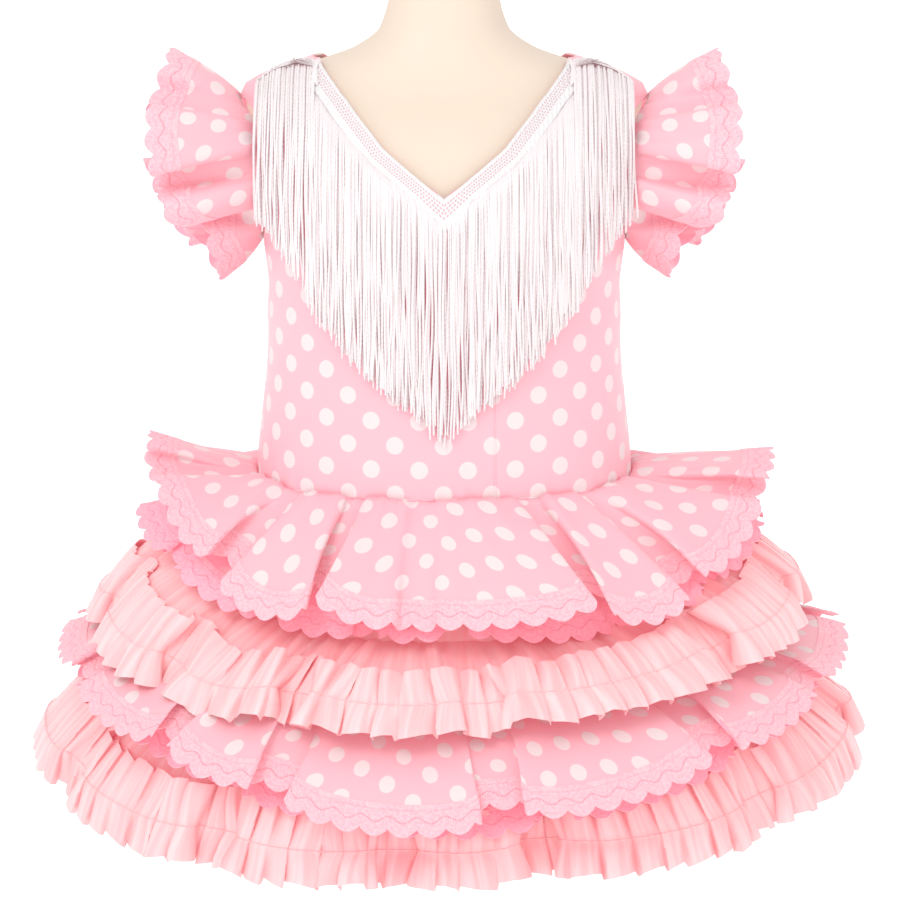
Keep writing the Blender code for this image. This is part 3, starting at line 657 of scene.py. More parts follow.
def dotted_satin(name, colour, printed=1.0, glow=PAINTED_GLOW):
    n = Nodes(name)
    uv = n.uv()
    dots = n.math("MULTIPLY", dot_share(n, uv), printed)
    ground = n.mix(n.noise(uv, 60.0, 3.0), colour, toned(colour, 0.96))
    height = n.math("MULTIPLY_ADD", n.twill(uv, 600.0, 1.5), 0.5, n.math("MULTIPLY", dots, 0.35))
    soft = n.bump(n.noise(uv, 90.0, 3.0), 0.0012, 0.25)
    return n.finish(
        n.mix(dots, ground, DOT_WHITE), n.step(dots, 0.0, 1.0, 0.42, 0.55), glow,
        Normal=n.bump(height, 0.00012, 0.5, Normal=soft), Sheen_Weight=0.15, Sheen_Roughness=0.4,
        Specular_IOR_Level=0.45,
    )


def organza(name, colour, shade):
    n = Nodes(name)
    uv = n.uv()
    lines = n.streaks(uv, 0.08, 900.0, 2.0)
    layers = n.streaks(uv, 0.05, 260.0, 1.0)
    ground = n.mix(n.step(lines, 0.3, 0.7), colour, toned(colour, 1.05))
    height = n.math("ADD", lines, n.twill(uv, 5200.0 / 6.0, 1.5))
    return n.finish(
        n.mix(n.step(layers, 0.30, 0.72), shade, ground), 0.36, PAINTED_GLOW, Normal=n.bump(height, 0.00015, 0.4),
        Sheen_Weight=0.15, Sheen_Roughness=0.3, Specular_IOR_Level=0.55,
    )


def scalloped_lace(name, colour, shade, glow=PAINTED_GLOW):
    """Lace whose first layer counts scallops along it, with metres down from its top edge. A waving line of
    holes follows the scallops below a straight one, and its upper part lets the dots beneath show."""
    n = Nodes(name)
    along_it, down, _ = n.parts(n.uv("lace"))
    wave = n.math("COSINE", n.math("MULTIPLY", along_it, TURN))
    waving = n.away(down, n.math("MULTIPLY_ADD", wave, -0.0019, 0.0098))
    place = n.math("MULTIPLY", along_it, 12.0)
    holes = n.math("MAXIMUM", n.holes(waving, place, (0.00025, 0.0006), 0.75, 0.20, 0.34),
                   n.holes(n.away(down, 0.0036), place, (0.0002, 0.0005), 0.35, 0.2, 0.36))
    cloth = n.uv()
    cloud = n.noise(cloth, 500.0)
    ground = n.mix(n.step(cloud, 0.35, 0.65), colour, shade)
    hidden = n.math("MULTIPLY", dot_share(n, cloth), n.step(down, 0.006, 0.009, 0.2, 0.0))
    stitches = n.math("SINE", n.math("MULTIPLY", along_it, TURN * 14))
    height = n.math("MULTIPLY_ADD", stitches, 0.15, n.math("MULTIPLY_ADD", holes, -1.0, cloud))
    return n.finish(n.mix(holes, n.mix(hidden, ground, DOT_WHITE), DEEP_PINK), 0.7, glow,
                    Normal=n.bump(height, 0.0006, 0.7), Sheen_Weight=0.2)


def braid_white(name):
    """A white braid with four rows of eyelets, by its coordinates along and across it."""
    n = Nodes(name)
    uv = n.uv()
    along_it, across, _ = n.parts(uv)
    eyelets = 0.0
    for row, level in enumerate((0.0024, 0.0039, 0.0054, 0.0069)):
        place = n.math("MULTIPLY_ADD", along_it, 1 / 0.0017, 0.5 * (row % 2))
        spot = n.holes(n.away(across, level), place, (0.0002, 0.0005), 0.85, 0.14, 0.30)
        eyelets = n.math("MAXIMUM", eyelets, spot)
    height = n.math("MULTIPLY_ADD", eyelets, -1.5, n.twill(uv, 160.0, 1.0))
    return n.finish(n.mix(eyelets, FRINGE_WHITE, EYELET_PINK), 0.55, Normal=n.bump(height, 0.0004, 0.8),
                    Sheen_Weight=0.3)


def strand_white(name):
    n = Nodes(name)
    twist = n.twill(n.uv(), 220.0, 0.5)
    # The strands get a little painted glow, so the shade in the gaps between them stays pink
    return n.finish(n.mix(n.math("MULTIPLY", twist, 0.5), FRINGE_WHITE, FRINGE_SHADE), 0.5, 0.06,
                    Normal=n.bump(twist, 0.0002, 0.7), Sheen_Weight=0.3)


def form_cloth(name, colour):
    n = Nodes(name)
    place = n.place()
    soft = n.bump(n.noise(place, 30.0), 0.0006, 0.2)
    return n.finish(n.mix(n.noise(place, 35.0, 3.0), colour, toned(colour, 0.97)), 0.5,
                    Normal=n.bump(n.noise(place, 1500.0), 0.00008, 0.5, Normal=soft), Specular_IOR_Level=0.4)


def painted(name, colour):
    n = Nodes(name)
    worn = n.noise(n.place(), 160.0, 4.0)
    return n.finish(n.mix(worn, colour, toned(colour, 0.93)), n.step(worn, 0.3, 0.7, 0.32, 0.45),
                    Normal=n.bump(worn, 0.0002, 0.25), Specular_IOR_Level=0.5)


def nylon_tape(name, colour):
    """A tape with a zip's teeth up its middle."""
    n = Nodes(name)
    across, up, _ = n.parts(n.uv())
    teeth = n.math("SINE", n.math("MULTIPLY", up, TURN / 0.0016))
    chain = n.step(n.math("ABSOLUTE", across), 0.0008, 0.0012, 1.0, 0.0)
    height = n.math("MULTIPLY", n.math("ADD", teeth, 1.0), chain)
    return n.finish(n.mix(chain, colour, toned(colour, 0.85)), 0.45, Normal=n.bump(height, 0.0004, 0.8))


# The form and its stand


def round_solid(name, grid, material):
    """A closed solid over rings of points, where the first and the last ring are one point each."""
    rows, columns = grid.shape[:2]
    r, c = cells(rows - 1, columns)
    made = new_object(name, grid.reshape(-1, 3), (r * columns + c % columns).tolist(), material)
    face_outwards(made, weld=1e-6)
    return made


def build_form(skin, stand):
    spans = ((0.12, 0.15, 14), (0.153, 0.43, 60), (0.432, 0.5445, 72))
    levels = np.concatenate([np.linspace(*span) for span in spans])
    angles = TURN * np.arange(96) / 96
    side = form_point(angles[None, :], levels[:, None])
    underside = [side[0] * (share, share, 1) for share in (0.0, 0.45, 0.75, 0.93)]
    middle = np.array([0, 0.010, levels[-1]])
    top = [between(middle, side[-1], share) + (0, 0, rise)
           for share, rise in ((0.97, 0.0), (0.9, 0.0004), (0.6, 0.0006), (0.0, 0.0006))]
    form = round_solid("dress_form", np.concatenate([underside, side, top]), skin)
    dress(form, "form_skin", "form_torso")
    for node, profile in STAND.items():
        radius, level = np.array(profile).T[:, :, None]
        rings = stacked(radius * np.cos(angles), radius * np.sin(angles), level)
        turned = round_solid(node + "_turned", rings, stand)
        dress(turned, "stand_cream", node)


# The bodice


def bodice_panel(name, node, neck, start_x, side, satin, end_x, back, columns, top):
    """A panel from the neck, or start_x outside it, to the armhole and side seam, or to end_x."""
    first_rows = HIP_SEAM + HEM_TURN * np.array([0, 0.06, 0.2, 0.5])
    levels = np.concatenate([first_rows, np.linspace(HIP_SEAM + HEM_TURN, top, 80)])[::-1][:, None]
    lift = lift_at(levels)
    first = np.maximum(start_x, np.where(levels > neck[0][0], curve(neck, levels), 0.0))
    inner = np.where(first > 0, angle_at_x(first, levels, lift), 0.0)
    if end_x is None:
        outer = math.pi / 2 - armhole_angle(levels) - 0.5 * SEAM_GAP / form_point(math.pi / 2, levels)[..., 0]
    else:
        outer = np.maximum(angle_at_x(end_x, levels, lift), inner + 1e-5)
    angle = between(inner, outer, np.linspace(0, 1, columns)[None, :])
    place = side * (math.pi - angle if back else angle)
    # Slight pulls where the cloth is sewn to the skirt, a soft ripple across the waist, and the turned hem
    pull = 0.0005 * np.exp(-(levels - HIP_SEAM) / 0.010) * np.sin(place * 46 + 3 * np.sin(place * 7))
    ripple = 0.0004 * np.sin((levels - 0.30) * 130 + 1.2 * np.sin(place * 2)) * hump(levels, 0.32, 0.05)
    turn = 1 - np.clip((levels - HIP_SEAM) / HEM_TURN, 0, 1)
    turned_in = HEM_TURN * (1 - np.sqrt(np.clip(1 - turn ** 2, 0, 1)))
    grid = on_form(place, levels, lift + np.maximum(pull + ripple, -0.0004) - turned_in)
    u = (runs(grid, 1) + first * 1.02) * side + (0.5 if back else 0.0)
    uvs = {"cloth": stacked(u, levels)}
    made = cloth_wall(name, grid, BODICE_WALL, satin, uvs, closed=False, flip=(side < 0) != back)
    declare(made, "dotted_pink", node, grid, closed=False)


def rolled_edge(name, node, angles, levels, sunk, half_width, height, satin, sides=6, across=None):
    """A slim roll of cloth along a line on the bodice, sunk that far into it."""
    line = on_form(angles, levels, lift_at(levels) - sunk)
    way_out = unit(on_form(angles, levels, 0.01 + 0 * levels) - on_form(angles, levels, 0 * levels))
    if across is None:
        across = unit(np.cross(way_out, np.gradient(line, axis=0)))
    turns = TURN * np.arange(sides)[:, None, None] / sides
    points = line + across * (half_width * np.cos(turns)) + way_out * (height * np.sin(turns))
    points = points.swapaxes(0, 1).reshape(-1, 3)
    rows = len(line)
    r, c = cells(rows - 1, sides)
    faces = (r * sides + c % sides).tolist()
    faces += [list(reversed(range(sides))), list(range((rows - 1) * sides, rows * sides))]
    corners = [(points[i][0] + points[i][1], points[i][2]) for face in faces for i in face]
    made = new_object(name, points, faces, satin, {"cloth": corners})
    face_outwards(made)
    dress(made, "dotted_pink", node)


def build_bodice(satin, tape):
    half_gap = SEAM_GAP / 2
    beside_zip = ZIP_HALF_WIDTH + half_gap
    beside_seam = FRONT_SEAM_X + half_gap
    for name, node, neck, start, side, end, back, columns, top in (
        ("front_right", "bodice_front", FRONT_NECK, 0.0, -1, None, False, 72, NECK_POINT),
        ("front_centre", "bodice_front", FRONT_NECK, 0.0, 1, FRONT_SEAM_X - half_gap, False, 20, 0.4112),
        ("front_left", "bodice_side_front", FRONT_NECK, beside_seam, 1, None, False, 56, NECK_POINT),
        ("back_right", "bodice_back_right", BACK_NECK, beside_zip, -1, None, True, 68, NECK_POINT),
        ("back_left", "bodice_back_left", BACK_NECK, beside_zip, 1, None, True, 68, NECK_POINT),
    ):
        bodice_panel("bodice_panel_" + name, node, neck, start, side, satin, end, back, columns, top)

    # A fine rolled edge on each side of the seam down the left of the front
    levels = np.linspace(HIP_SEAM + 0.0005, 0.4105, 120)
    for number, beside in ((1, -0.0005), (2, 0.0005)):
        name = f"front_seam_edge_{number}"
        angles = angle_at_x(FRONT_SEAM_X + beside, levels, lift_at(levels))
        rolled_edge(name, "bodice_side_front", angles, levels, 0.0002, 0.0006, 0.0005, satin)

    # The zip's tape, between the two backs
    levels = np.linspace(HIP_SEAM + 0.0005, BACK_NECK[0][0] - 0.0005, 120)[::-1, None]
    lift = lift_at(levels)
    edge = angle_at_x(ZIP_HALF_WIDTH - half_gap, levels, lift)
    share = np.linspace(-1, 1, 13)[None, :]
    grid = on_form(math.pi - edge * share, levels, lift - 0.0003 + 0.0005 * (1 - np.abs(share)))
    uvs = {"cloth": stacked(ZIP_HALF_WIDTH * share, levels)}
    made = cloth_wall("zip_tape", grid, ZIP_WALL, tape, uvs, closed=False)
    dress(made, "dotted_pink", "back_zip")


def build_waist_roll(satin):
    """The rolled seam allowance between the bodice and the first tier."""
    angles = np.linspace(0, TURN, 361)
    levels = np.full(len(angles), HIP_SEAM - 0.0002)
    up = np.array([0.0, 0.0, 1.0])
    rolled_edge("waist_seam_roll", "tier_1", angles, levels, 0.0006, 0.0009, 0.0007, satin, 8, up)


# Ruffles and their edgings


def sector_uv(grid):
    """Flat coordinates for a closed ruffle cut as part of a ring: round its hole along the top edge, with the
    true lengths along each row and, evened out over neighbouring columns, down each column."""
    columns = grid.shape[1]
    top, hem = (closed_on(row) for row in (grid[0], grid[-1]))
    lengths = steps(grid)
    reach = columns // 24
    wide = np.concatenate([lengths[:, -columns // 24:], lengths, lengths[:, :reach]], axis=1)
    kernel = np.ones(2 * reach + 1) / (2 * reach + 1)
    even = np.stack([np.convolve(row, kernel, "valid")[:columns] for row in wide])
    down = closed_on(np.concatenate([np.zeros((1, columns)), even.cumsum(axis=0)]), 1)
    turn = (runs(hem)[-1] - runs(top)[-1]) / down[-1].mean()
    along_it = runs(closed_on(grid, 1), 1)
    share = along_it / along_it[:, -1:]
    out = runs(top)[-1] / turn + down
    return stacked(out * np.sin(turn * share), -out * np.cos(turn * share))


def strip_uv(grid):
    along_it = runs(closed_on(grid[len(grid) // 2]))
    return stacked(along_it[None, :], -runs(grid).mean(axis=1)[:, None])


def harmonics(turns, counts, seed):
    """A lively closed wave in -1..1: a few whole numbers of waves a turn, with amplitudes that vary."""
    local = np.random.default_rng(seed)
    total = 0.0
    for count in counts:
        total = total + np.sin(count * TURN * turns + local.uniform(0, TURN)) * local.uniform(0.5, 1.0)
    return total / len(counts) ** 0.5 / 1.1


def gathers(turns, reaches, counts, depth, end, seed):
    """Small gathers next to the seam that fade out down the cloth."""
    down = reaches[:, None]
    fade = np.clip(1 - down / end, 0, 1) ** 1.3 * np.clip(down / 0.04, 0.35, 1)
    return depth * fade * harmonics(turns, counts, seed)


def even_turns(surface, count):
    """The turns at which a closed hem is cut into even steps."""
    first = np.linspace(0, 1, 4001)
    run = runs(closed_on(surface(first[:-1], np.array([1.0]))[0]))
    return np.interp(np.linspace(0, run[-1], count + 1)[:-1], run, first)


def up_from_hem(grids, lengths, above):
    """The grids' values in each column that far above the last row. lengths says how far up each point is."""
    rows, columns = lengths.shape
    upwards = np.arange(rows - 1, -1, -1.0)
    spots = np.stack([np.interp(above[c], lengths[::-1, c], upwards) for c in range(columns)])
    low = np.minimum(spots.astype(int), rows - 2)
    part = (spots - low)[:, None]
    each = np.arange(columns)
    return [between(grid[low, each], grid[low + 1, each], part) for grid in grids]


def lace_band(name, node, cloth, lace, inside, flip):
    """Scalloped lace sewn over the hem of a closed cloth, from above the hem to its scallops below it."""
    run = runs(closed_on(cloth[-1]))
    scallops = round(run[-1] / SCALLOP_WIDTH)
    count = scallops * SCALLOP_COLUMNS
    phase = np.arange(count + 1) / SCALLOP_COLUMNS
    share = phase / scallops * run[-1]
    at = np.interp(share, run, np.arange(len(run)))[:-1]
    left = at.astype(int)
    whole = closed_on(cloth[len(cloth) * 3 // 4 - 4:], 1)
    full = between(whole[:, left], whole[:, left + 1], (at - left)[None, :, None])
    lobe = np.abs(np.sin(math.pi * phase[:-1])) ** 0.80
    scallop = LACE_GAP + LACE_DEPTH + LACE_SCALLOP * (1.25 * lobe - 0.55)
    from_hem = runs(full[::-1])[::-1]
    sewn = (LACE_ABOVE, LACE_ABOVE - 0.0008, LACE_ABOVE * 0.5, 0.0)
    rows = [up_from_hem([full], from_hem, np.full(count, above))[0] for above in sewn]
    down = unit(full[-1] - full[-2])
    rows += [full[-1] + down * (scallop * part)[:, None] for part in LACE_ROWS_BELOW]
    grid = np.stack(rows)
    # Below the hem it curls gently with each scallop
    curl = LACE_CURL * np.array([0, 0, 0, 0, 0.35, 0.75, 1.0, 1.1])[:, None] * np.cos(TURN * phase[:-1])
    grid = grid + outward(grid, True, flip) * (LACE_LIFT + curl)[..., None]
    from_top = np.stack([np.full(count, LACE_ABOVE - above) for above in sewn]
                        + [LACE_ABOVE + scallop * part for part in LACE_ROWS_BELOW])
    from_top = closed_on(from_top, 1)
    uvs = {"lace": stacked(phase, from_top), "cloth": stacked(share, -from_top)}
    made = cloth_wall(name + "_lace_band", grid, LACE_WALL, lace, uvs, flip=flip, wrong_side=inside)
    declare(made, "pink_lace", node + "_lace", grid)


def laced_ruffle(name, node, surface, size, small, flutter, seeds, cloths, flip=False):
    """A satin ruffle of a size, in columns and rows, with small gathers, flutter at its hem, and lace."""
    satin, inside, lace = cloths
    columns, rows, crowding = size
    turns = even_turns(surface, columns)
    reaches = np.linspace(0, 1, rows) ** crowding
    down = reaches[:, None]
    base = surface(turns, reaches)
    swell = gathers(turns, reaches, *small, seeds[0])
    if name == "tier_1":
        # Its folds start full, but for the creases between them
        crease = (0.5 + 0.5 * np.cos(TURN * len(CREASES[name]) * turns)) ** 4
        puff = FIRST_TIER_PUFF * np.exp(-down / 0.45) * (1 - np.exp(-down / 0.014))
        swell = swell + puff * (1 - 0.8 * crease)
    counts, depth = flutter
    swell = swell + depth * down ** 2 * harmonics(turns, counts, seeds[1])
    grid = base + outward(base, True, flip) * swell[..., None]
    made = cloth_wall(name + "_ruffle", grid, RUFFLE_WALL, satin, {"cloth": sector_uv(grid)}, flip=flip,
                      wrong_side=inside)
    declare(made, "dotted_pink", node, grid)
    lace_band(name, node, grid, lace, inside, flip)


def build_sheer_tier(name, sheer, seed):
    def surface(turns, reaches):
        return tier_surface(name, turns, reaches)

    turns = even_turns(surface, 700)
    reaches = np.linspace(0, 1, 14)
    base = surface(turns, reaches)
    swell = gathers(turns, reaches, *SHEER_GATHERS, seed) * np.clip((1.02 - reaches[:, None]) / 0.25, 0, 1)
    grid = base + outward(base) * swell[..., None]
    made = cloth_wall(name + "_ruffle", grid, RUFFLE_WALL, sheer, {"cloth": strip_uv(grid)})
    declare(made, "peach_organza", name, grid)
    pleated_strip(name, surface, round(runs(closed_on(grid[-1]))[-1] / PLEAT_WIDTH), sheer, seed)


def pleated_strip(name, surface, pleats, sheer, seed):
    """A strip of uneven pleats, pinched along its middle over a hem. It hangs steeper than the cloth."""
    local = np.random.default_rng(seed)
    starts = np.concatenate([[0], local.uniform(*PLEAT_WIDTHS, pleats).cumsum()])
    pleat = np.arange(pleats * PLEAT_COLUMNS) / PLEAT_COLUMNS
    index = pleat.astype(int)
    within = pleat - index
    share = np.interp(pleat, np.arange(pleats + 1), starts / starts[-1])
    turns = np.interp(share, np.linspace(0, 1, 3001), np.append(even_turns(surface, 3000), 1.0))
    near = surface(turns, np.linspace(0.9, 1.0, 3))
    edge = near[-1]
    across = unit(np.roll(edge, -1, axis=0) - np.roll(edge, 1, axis=0))
    beside = (np.abs(edge[:, 0]) / np.linalg.norm(edge[:, :2], axis=1)) ** 3
    steep = (STRIP_HANG + STRIP_HANG_BESIDE * beside)[:, None]
    hang = unit(between(unit(near[-1] - near[-2]), np.array([0, 0, -1.0]), steep))
    normal = unit(-np.cross(across, hang))
    upper = surface(turns, np.linspace(0.3, 1.0, 15))
    upper_out = outward(upper)
    from_hem = runs(upper[::-1])[::-1]

    def on_cloth(above):
        """The points that far up the cloth from its hem, and the way out of the cloth there."""
        foot, way_out = up_from_hem([upper, upper_out], from_hem, above)
        return foot, unit(between(way_out, normal, np.exp(-above / 0.008)[:, None]))

    sizes = local.uniform(*PLEAT_HEIGHTS, pleats)
    size = between(sizes[index], np.roll(sizes, -1)[index], within)
    lean = np.repeat(local.choice((-1.0, 1.0), pleats // 4 + 1), 4)[:pleats] * local.uniform(0.3, 1.0, pleats)
    lean = lean[index]
    lift_more, length_more = local.uniform(-1, 1, (pleats, 2))[index].T
    strips = []
    for place in STRIP_PLACES:
        opened = between(PINCH_OPEN, 1.0, min(1.0, abs(place) * 1.25) ** 0.8)
        # Each pleat is a flat box, and the notches between the boxes open away from the pinch
        crown = np.clip((1 - np.abs(2 * within - 1)) / (0.20 + 0.34 * abs(place)), 0, 1)
        crown = crown * crown * (3 - 2 * crown)
        lift = FRILL_CLEAR + PLEAT_RISE * size * crown * opened
        lift = lift + (EDGE_LIFT + EDGE_LIFT_UNEVEN * lift_more) * place * place
        slip = PLEAT_WIDTH * PLEAT_SLIP * lean * crown * opened
        waver = EDGE_SLANT * (within - 0.5) * np.sign(lean) + EDGE_UNEVEN * length_more * crown
        waver = waver * abs(place)
        if place > 0:
            foot, way_out = edge + hang * (place * FRILL_BELOW - 0.001 + waver)[:, None], normal
        else:
            above = -place * FRILL_ABOVE * (1 + 0.25 * beside) if place else 0 * beside
            foot, way_out = on_cloth(above + 0.001 - waver)
        if place < 0:
            lift = lift * (1 - 0.60 * beside) + STRIP_FLARE * abs(place) ** 1.5
        strips.append(foot + way_out * lift[:, None] + across * slip[:, None])
    frill = np.stack(strips)
    made = cloth_wall(name + "_pleated_strip", frill, STRIP_WALL, sheer, {"cloth": strip_uv(frill)})
    declare(made, "peach_organza", name + "_frill", frill)

    # The thread that pinches it
    line = frill[len(frill) // 2] + normal * 0.0003
    around = THREAD_RADIUS * np.array([(0, 1), (1, 0), (0, -1), (-1, 0)])
    thread = np.stack([line + hang * a + normal * b for a, b in around])
    count = len(pleat)
    r, c = (part[:, ::-1] for part in cells(4, count))
    corners = stacked(c.min(axis=1) * 0.001, r.min(axis=1) * 0.0005)[:, None].repeat(4, axis=1)
    faces = (r % 4 * count + c % count).tolist()
    stitched = new_object(name + "_strip_thread", thread.reshape(-1, 3), faces, sheer, {"cloth": corners})
    dress(stitched, "peach_organza", name + "_frill")


def build_underskirt(sheer):
    levels = np.linspace(UNDERSKIRT[-1][0], UNDERSKIRT[0][0], 24)
    turns = np.arange(192) / 192
    width, depth = (curve(UNDERSKIRT, levels, c)[:, None] for c in (1, 2))
    grid = ring_point(width, depth, 0, levels[:, None], TURN * turns[None, :])
    wave = 0.0007 * np.linspace(0, 1, 24)[:, None] * harmonics(turns, (9, 14, 21), 5)
    grid = grid + outward(grid) * (wave - 0.0002)[..., None]
    made = cloth_wall("underskirt_lining", grid, RUFFLE_WALL, sheer, {"cloth": sector_uv(grid)})
    declare(made, "dotted_pink", "underskirt", grid)


def build_skirt(satin, inside, sheer, lace, under_lace):
    build_underskirt(sheer)
    for name, columns, rows, cloth, edging, seed in (
        ("tier_1", 900, 22, satin, lace, 21),
        ("tier_3", 1000, 20, satin, lace, 22),
        ("tier_1_under", 500, 10, inside, under_lace, 25),
        ("tier_3_under", 560, 10, inside, under_lace, 26),
    ):
        laced_ruffle(
            name, name.replace("_under", ""), lambda turns, reaches: tier_surface(name, turns, reaches),
            (columns, rows, 1.1), TIER_GATHERS, TIER_FLUTTER, (seed, seed + 1), (cloth, inside, edging),
        )
    build_sheer_tier("tier_2", sheer, 23)
    build_sheer_tier("tier_4", sheer, 24)


def build_sleeves(satin, inside, lace):
    for hand, side in (("right", -1), ("left", 1)):
        laced_ruffle(
            "sleeve_" + hand, "sleeve_" + hand, lambda turns, reaches: sleeve_surface(side, turns, reaches),
            (320, 18, 1.0), SLEEVE_GATHERS, SLEEVE_FLUTTER, (31 + side, 33 + side), (satin, inside, lace),
            flip=side < 0,
        )


# The fringe


def along(table, share):
    """Points that share of the way along a line of points, and the line's directions there."""
    points = np.array(table)
    ends = runs(points)

    def spot(share):
        return stacked(*(np.interp(np.clip(share, 0, 1) * ends[-1], ends, column) for column in points.T))

    return spot(share), unit(spot(share + 0.03) - spot(share - 0.03)), ends[-1]


def under_line(place, run, drop, turn_in=1.0):
    """x and level of points a drop below a line, square to it, but straight down as turn_in goes to 0."""
    return place[..., 0] + run[..., 1] * drop * turn_in, place[..., 1] - run[..., 0] * drop * (2 - turn_in)


def tubes(lines, down, radius, sides=5):
    """Points, faces and flat coordinates of thin tubes along rows of points."""
    strands, count = lines.shape[:2]
    ring = TURN * np.arange(sides) / sides
    circle = stacked(np.cos(ring), np.sin(ring), 0)
    points = (lines[:, :, None] + circle * radius[:, :, None, None]).reshape(-1, 3)
    r, c = (part[:, ::-1] for part in cells(count - 1, sides))
    first = np.arange(strands) * count * sides
    quads = first[:, None, None] + r * sides + c % sides
    ends = [np.arange(sides), (count - 1) * sides + np.arange(sides)[::-1]]
    lids = first[:, None, None] + np.stack(ends)
    corners = stacked(c / sides * 0.004, down[:, r]).reshape(-1, 2)
    faces = quads.reshape(-1, 4).tolist() + lids.reshape(-1, sides).tolist()
    return points, faces, np.concatenate([corners, np.zeros((2 * strands * sides, 2))])


def on_cloth(x, level, lift, side, back):
    """The point of the lifted surface at that x and level, on the left, or mirrored on the side -1."""
    angle = angle_at_x(x, level, lift)
    return on_form(math.pi - angle if back else angle, level, lift) * np.array([side, 1.0, 1.0])


def build_braid(name, side, back, finish):
    """The braid, from its upper edge to its lower one. It ends at the shoulder, beside the neck."""
    share = np.linspace(0, 1.0 if back else BRAID_CORNER, 110 if back else 200)
    place, run, length = along(BACK_BRAID if back else FRONT_BRAID, share)
    drops = np.linspace(0, BRAID_WIDTH, len(BRAID_PROFILE))[:, None]
    x, level = under_line(place, run, drops, np.minimum(1.0, place[:, 0] / BRAID_WIDTH))
    x = np.maximum(x, 0.0)
    if not back:
        # The two halves lap at the point of the neck
        x = x - BRAID_LAP * np.exp(-place[:, 0] / 0.002)
    relief = np.array(BRAID_PROFILE)[:, None] + BRAID_RIB * np.sin(share * length * TURN / BRAID_RIB_STEP)
    lift = lift_at(level) + BRAID_LIFT + BRAID_LIFT_OUTSIDE * (x / HALF_CHEST) ** 2 + BRAID_THICK * 0.55
    grid = on_cloth(x, level, lift + relief, side, back)
    uvs = {"cloth": stacked(share * length, drops)}
    braid = cloth_wall(name + "_braid", grid, BRAID_THICK * 0.9, finish, uvs, closed=False,
                       flip=(side < 0) != back)
    dress(braid, "white_fringe", name)


def hanging_depth(x, level, lift, back):
    """How far in front of the sides, or behind them, strands hang that never swing back under the cloth."""
    touched = on_cloth(x, level, lift, 1, back)
    depth = np.maximum(touched[..., 1] if back else -touched[..., 1], 0)
    return np.maximum.accumulate(np.where(touched[..., 0] > x - 1e-4, depth, 0), axis=1)


def build_strands(name, side, back, strands, seed, finish):
    """The strands, in three layers. Those beyond the braid lie along the shoulder before they hang."""
    table, corner = (BACK_BRAID, 1.0) if back else (FRONT_BRAID, BRAID_CORNER)
    local = np.random.default_rng(seed)
    share = (np.arange(strands) + 0.5 + local.uniform(-0.3, 0.3, strands)) / strands
    layer = local.permutation(strands) % 3
    place, run, _ = along(table, share)
    beyond = np.clip((share - corner) / 0.04, 0, 1)
    drop = BRAID_WIDTH - ROOT_UNDER - ROOT_HIGHER * beyond
    x0, z0 = under_line(place, run, drop, np.minimum(1.0, place[:, 0] / BRAID_WIDTH))
    x0 = np.maximum(x0, 0.0004)
    past_centre = np.where(x0 < 0.0020, local.uniform(0.0, 0.0014, strands), 0.0)
    total = STRAND_LENGTH + STRAND_LONGER_BEYOND * beyond + local.normal(0, STRAND_UNEVEN, strands)
    if not back:
        total = total - LOCK_SHORTER * np.maximum(0.0, x0 - SHOULDER_START)
    t = np.linspace(0, 1, 17) ** 1.1
    down = total[:, None] * t
    level = z0[:, None] - down
    phase = local.uniform(0, TURN, (strands, 2))
    grow = t ** 0.8
    bend = local.normal(0, STRAND_BEND, (strands, 1)) * t
    waves = 0.0
    for i, (depth, rate) in enumerate(STRAND_WAVES):
        waves = waves + depth * np.sin(down * rate + phase[:, i:i + 1])
    sway = grow * (waves + bend)
    probe = np.broadcast_to(x0[:, None], level.shape)
    lift = lift_at(level) + BRAID_LIFT + LOCK_CLEAR * (0.3 + 0.7 * np.minimum(1, down / 0.006))
    lift = lift + LOCK_CLEAR_OUTSIDE * (probe / HALF_CHEST) ** 2
    depth = hanging_depth(probe, level, lift, back)
    depth = depth + (0.0003 + STRAND_LAYER * layer)[:, None] * np.minimum(1, down / 0.012)
    depth = depth + 0.0004 * np.sin(down * 55 + phase[:, 1:]) * grow
    x = np.maximum((x0 - past_centre)[:, None] + sway, -0.002)
    line = stacked(x * side, depth if back else -depth, level)
    radius = STRAND_WIDTH / 2 * local.uniform(0.85, 1.12, (strands, 1)) * np.where(t > 0.97, 0.75, 1.0)
    near = share <= corner
    points, faces, corners = tubes(line[near], down[near], radius[near])
    if not near.all():
        far = ~near
        root = corner - 0.06 * (share[far] - corner) / (1 - corner)
        q = np.linspace(0, 1, 9)[:-1]
        spot, way, _ = along(table, between(root[:, None], share[far][:, None], q))
        x, level = under_line(spot, way, BRAID_WIDTH - ROOT_UNDER - ROOT_HIGHER * q ** 0.35)
        rise = BRAID_LIFT + 0.0010 + 0.0007 * layer[far]
        lying = on_cloth(np.maximum(x, 0.0003), level, lift_at(level) + rise[:, None], side, back)
        # Its hanging part starts from where the part along the shoulder ends
        final = on_cloth(x0[far], z0[far], lift_at(z0[far]) + rise, side, back)
        ease = np.exp(-down[far] / 0.010)[..., None]
        joined = np.concatenate([lying, line[far] + (final[:, None] - line[far][:, :1]) * ease], axis=1)
        wide = np.concatenate([np.repeat(radius[far][:, :1], len(q), axis=1), radius[far]], axis=1)
        more = tubes(joined, runs(joined, 1), wide)
        faces += [[i + len(points) for i in face] for face in more[1]]
        points, corners = np.concatenate([points, more[0]]), np.concatenate([corners, more[2]])
    made = new_object(name + "_strands", points, faces, finish, {"cloth": corners})
    dress(made, "white_fringe", name)


# The room


def aim(thing, place, target):
    thing.location = place
    thing.rotation_euler = (Vector(target) - Vector(place)).to_track_quat("-Z", "Y").to_euler()


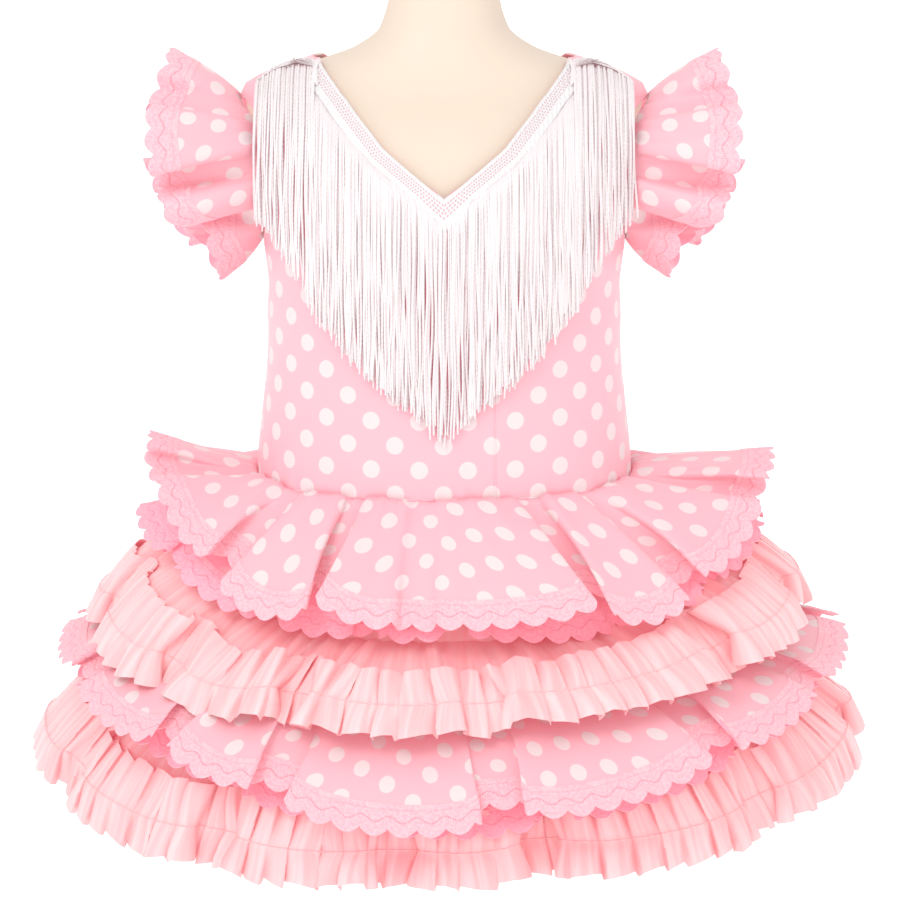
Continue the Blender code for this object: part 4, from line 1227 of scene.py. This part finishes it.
def build_room():
    floor = bpy.data.meshes.new("floor")
    far = FLOOR_HALF
    floor.from_pydata([(-far, -far, 0), (far, -far, 0), (far, far, 0), (-far, far, 0)], [], [(0, 1, 2, 3)])
    pale = Nodes("pale_floor")
    floor.materials.append(pale.finish(FLOOR_GREY, 0.9, Specular_IOR_Level=0.05, Emission_Color=WHITE,
                                       Emission_Strength=FLOOR_GLOW))
    placed("floor", floor)

    scene = bpy.context.scene
    world = bpy.data.worlds.new("pale_room")
    world.use_nodes = True
    background = world.node_tree.nodes["Background"]
    background.inputs["Color"].default_value = WHITE
    background.inputs["Strength"].default_value = WORLD_LIGHT
    scene.world = world

    for name, place, size, power in LAMPS:
        light = bpy.data.lights.new(name, "AREA")
        light.size = size
        light.energy = power
        aim(placed(name, light), place, LAMP_TARGET)

    lens = bpy.data.cameras.new("camera")
    lens.lens = CAMERA_LENS
    lens.sensor_width = 36.0
    lens.clip_start = 0.05
    scene.camera = placed("camera", lens)
    away = Vector((0, -math.cos(CAMERA_RISE), math.sin(CAMERA_RISE))) * CAMERA_DISTANCE
    aim(scene.camera, Vector(CAMERA_TARGET) + away, CAMERA_TARGET)
    scene.view_settings.view_transform = "Standard"
    scene.view_settings.look = "None"


def main():
    satin = dotted_satin("dotted_satin", PINK)
    # The wrong side of the satin, with its print faint, and painted shade: a deeper pink with more painted
    # glow, as in the shade inside the folds
    inside = dotted_satin("shaded_satin_wrong_side", SHADED_INSIDE_PINK, 0.35, 0.16)
    sheer = organza("sheer_organza", PEACH, PEACH_SHADE)
    lace = scalloped_lace("scalloped_lace", LACE_PINK, LACE_SHADE)
    # Painted shade: the under layers' lace, a deeper pink with more painted glow, as in the shade under the
    # tiers
    under_lace = scalloped_lace("under_lace", SHADED_UNDER_LACE, SHADED_INSIDE_PINK, 0.20)
    braid = braid_white("braid_thread")
    strand = strand_white("strand_thread")
    build_form(form_cloth("form_cloth", SKIN), painted("stand_enamel", STAND_CREAM))
    build_bodice(satin, nylon_tape("zip_nylon", PINK))
    build_waist_roll(satin)
    build_skirt(satin, inside, sheer, lace, under_lace)
    build_sleeves(satin, inside, lace)
    for name, side, back, strands, seed in FRINGES:
        build_braid(name, side, back, braid)
        build_strands(name, side, back, strands, seed, strand)
    build_room()


main()
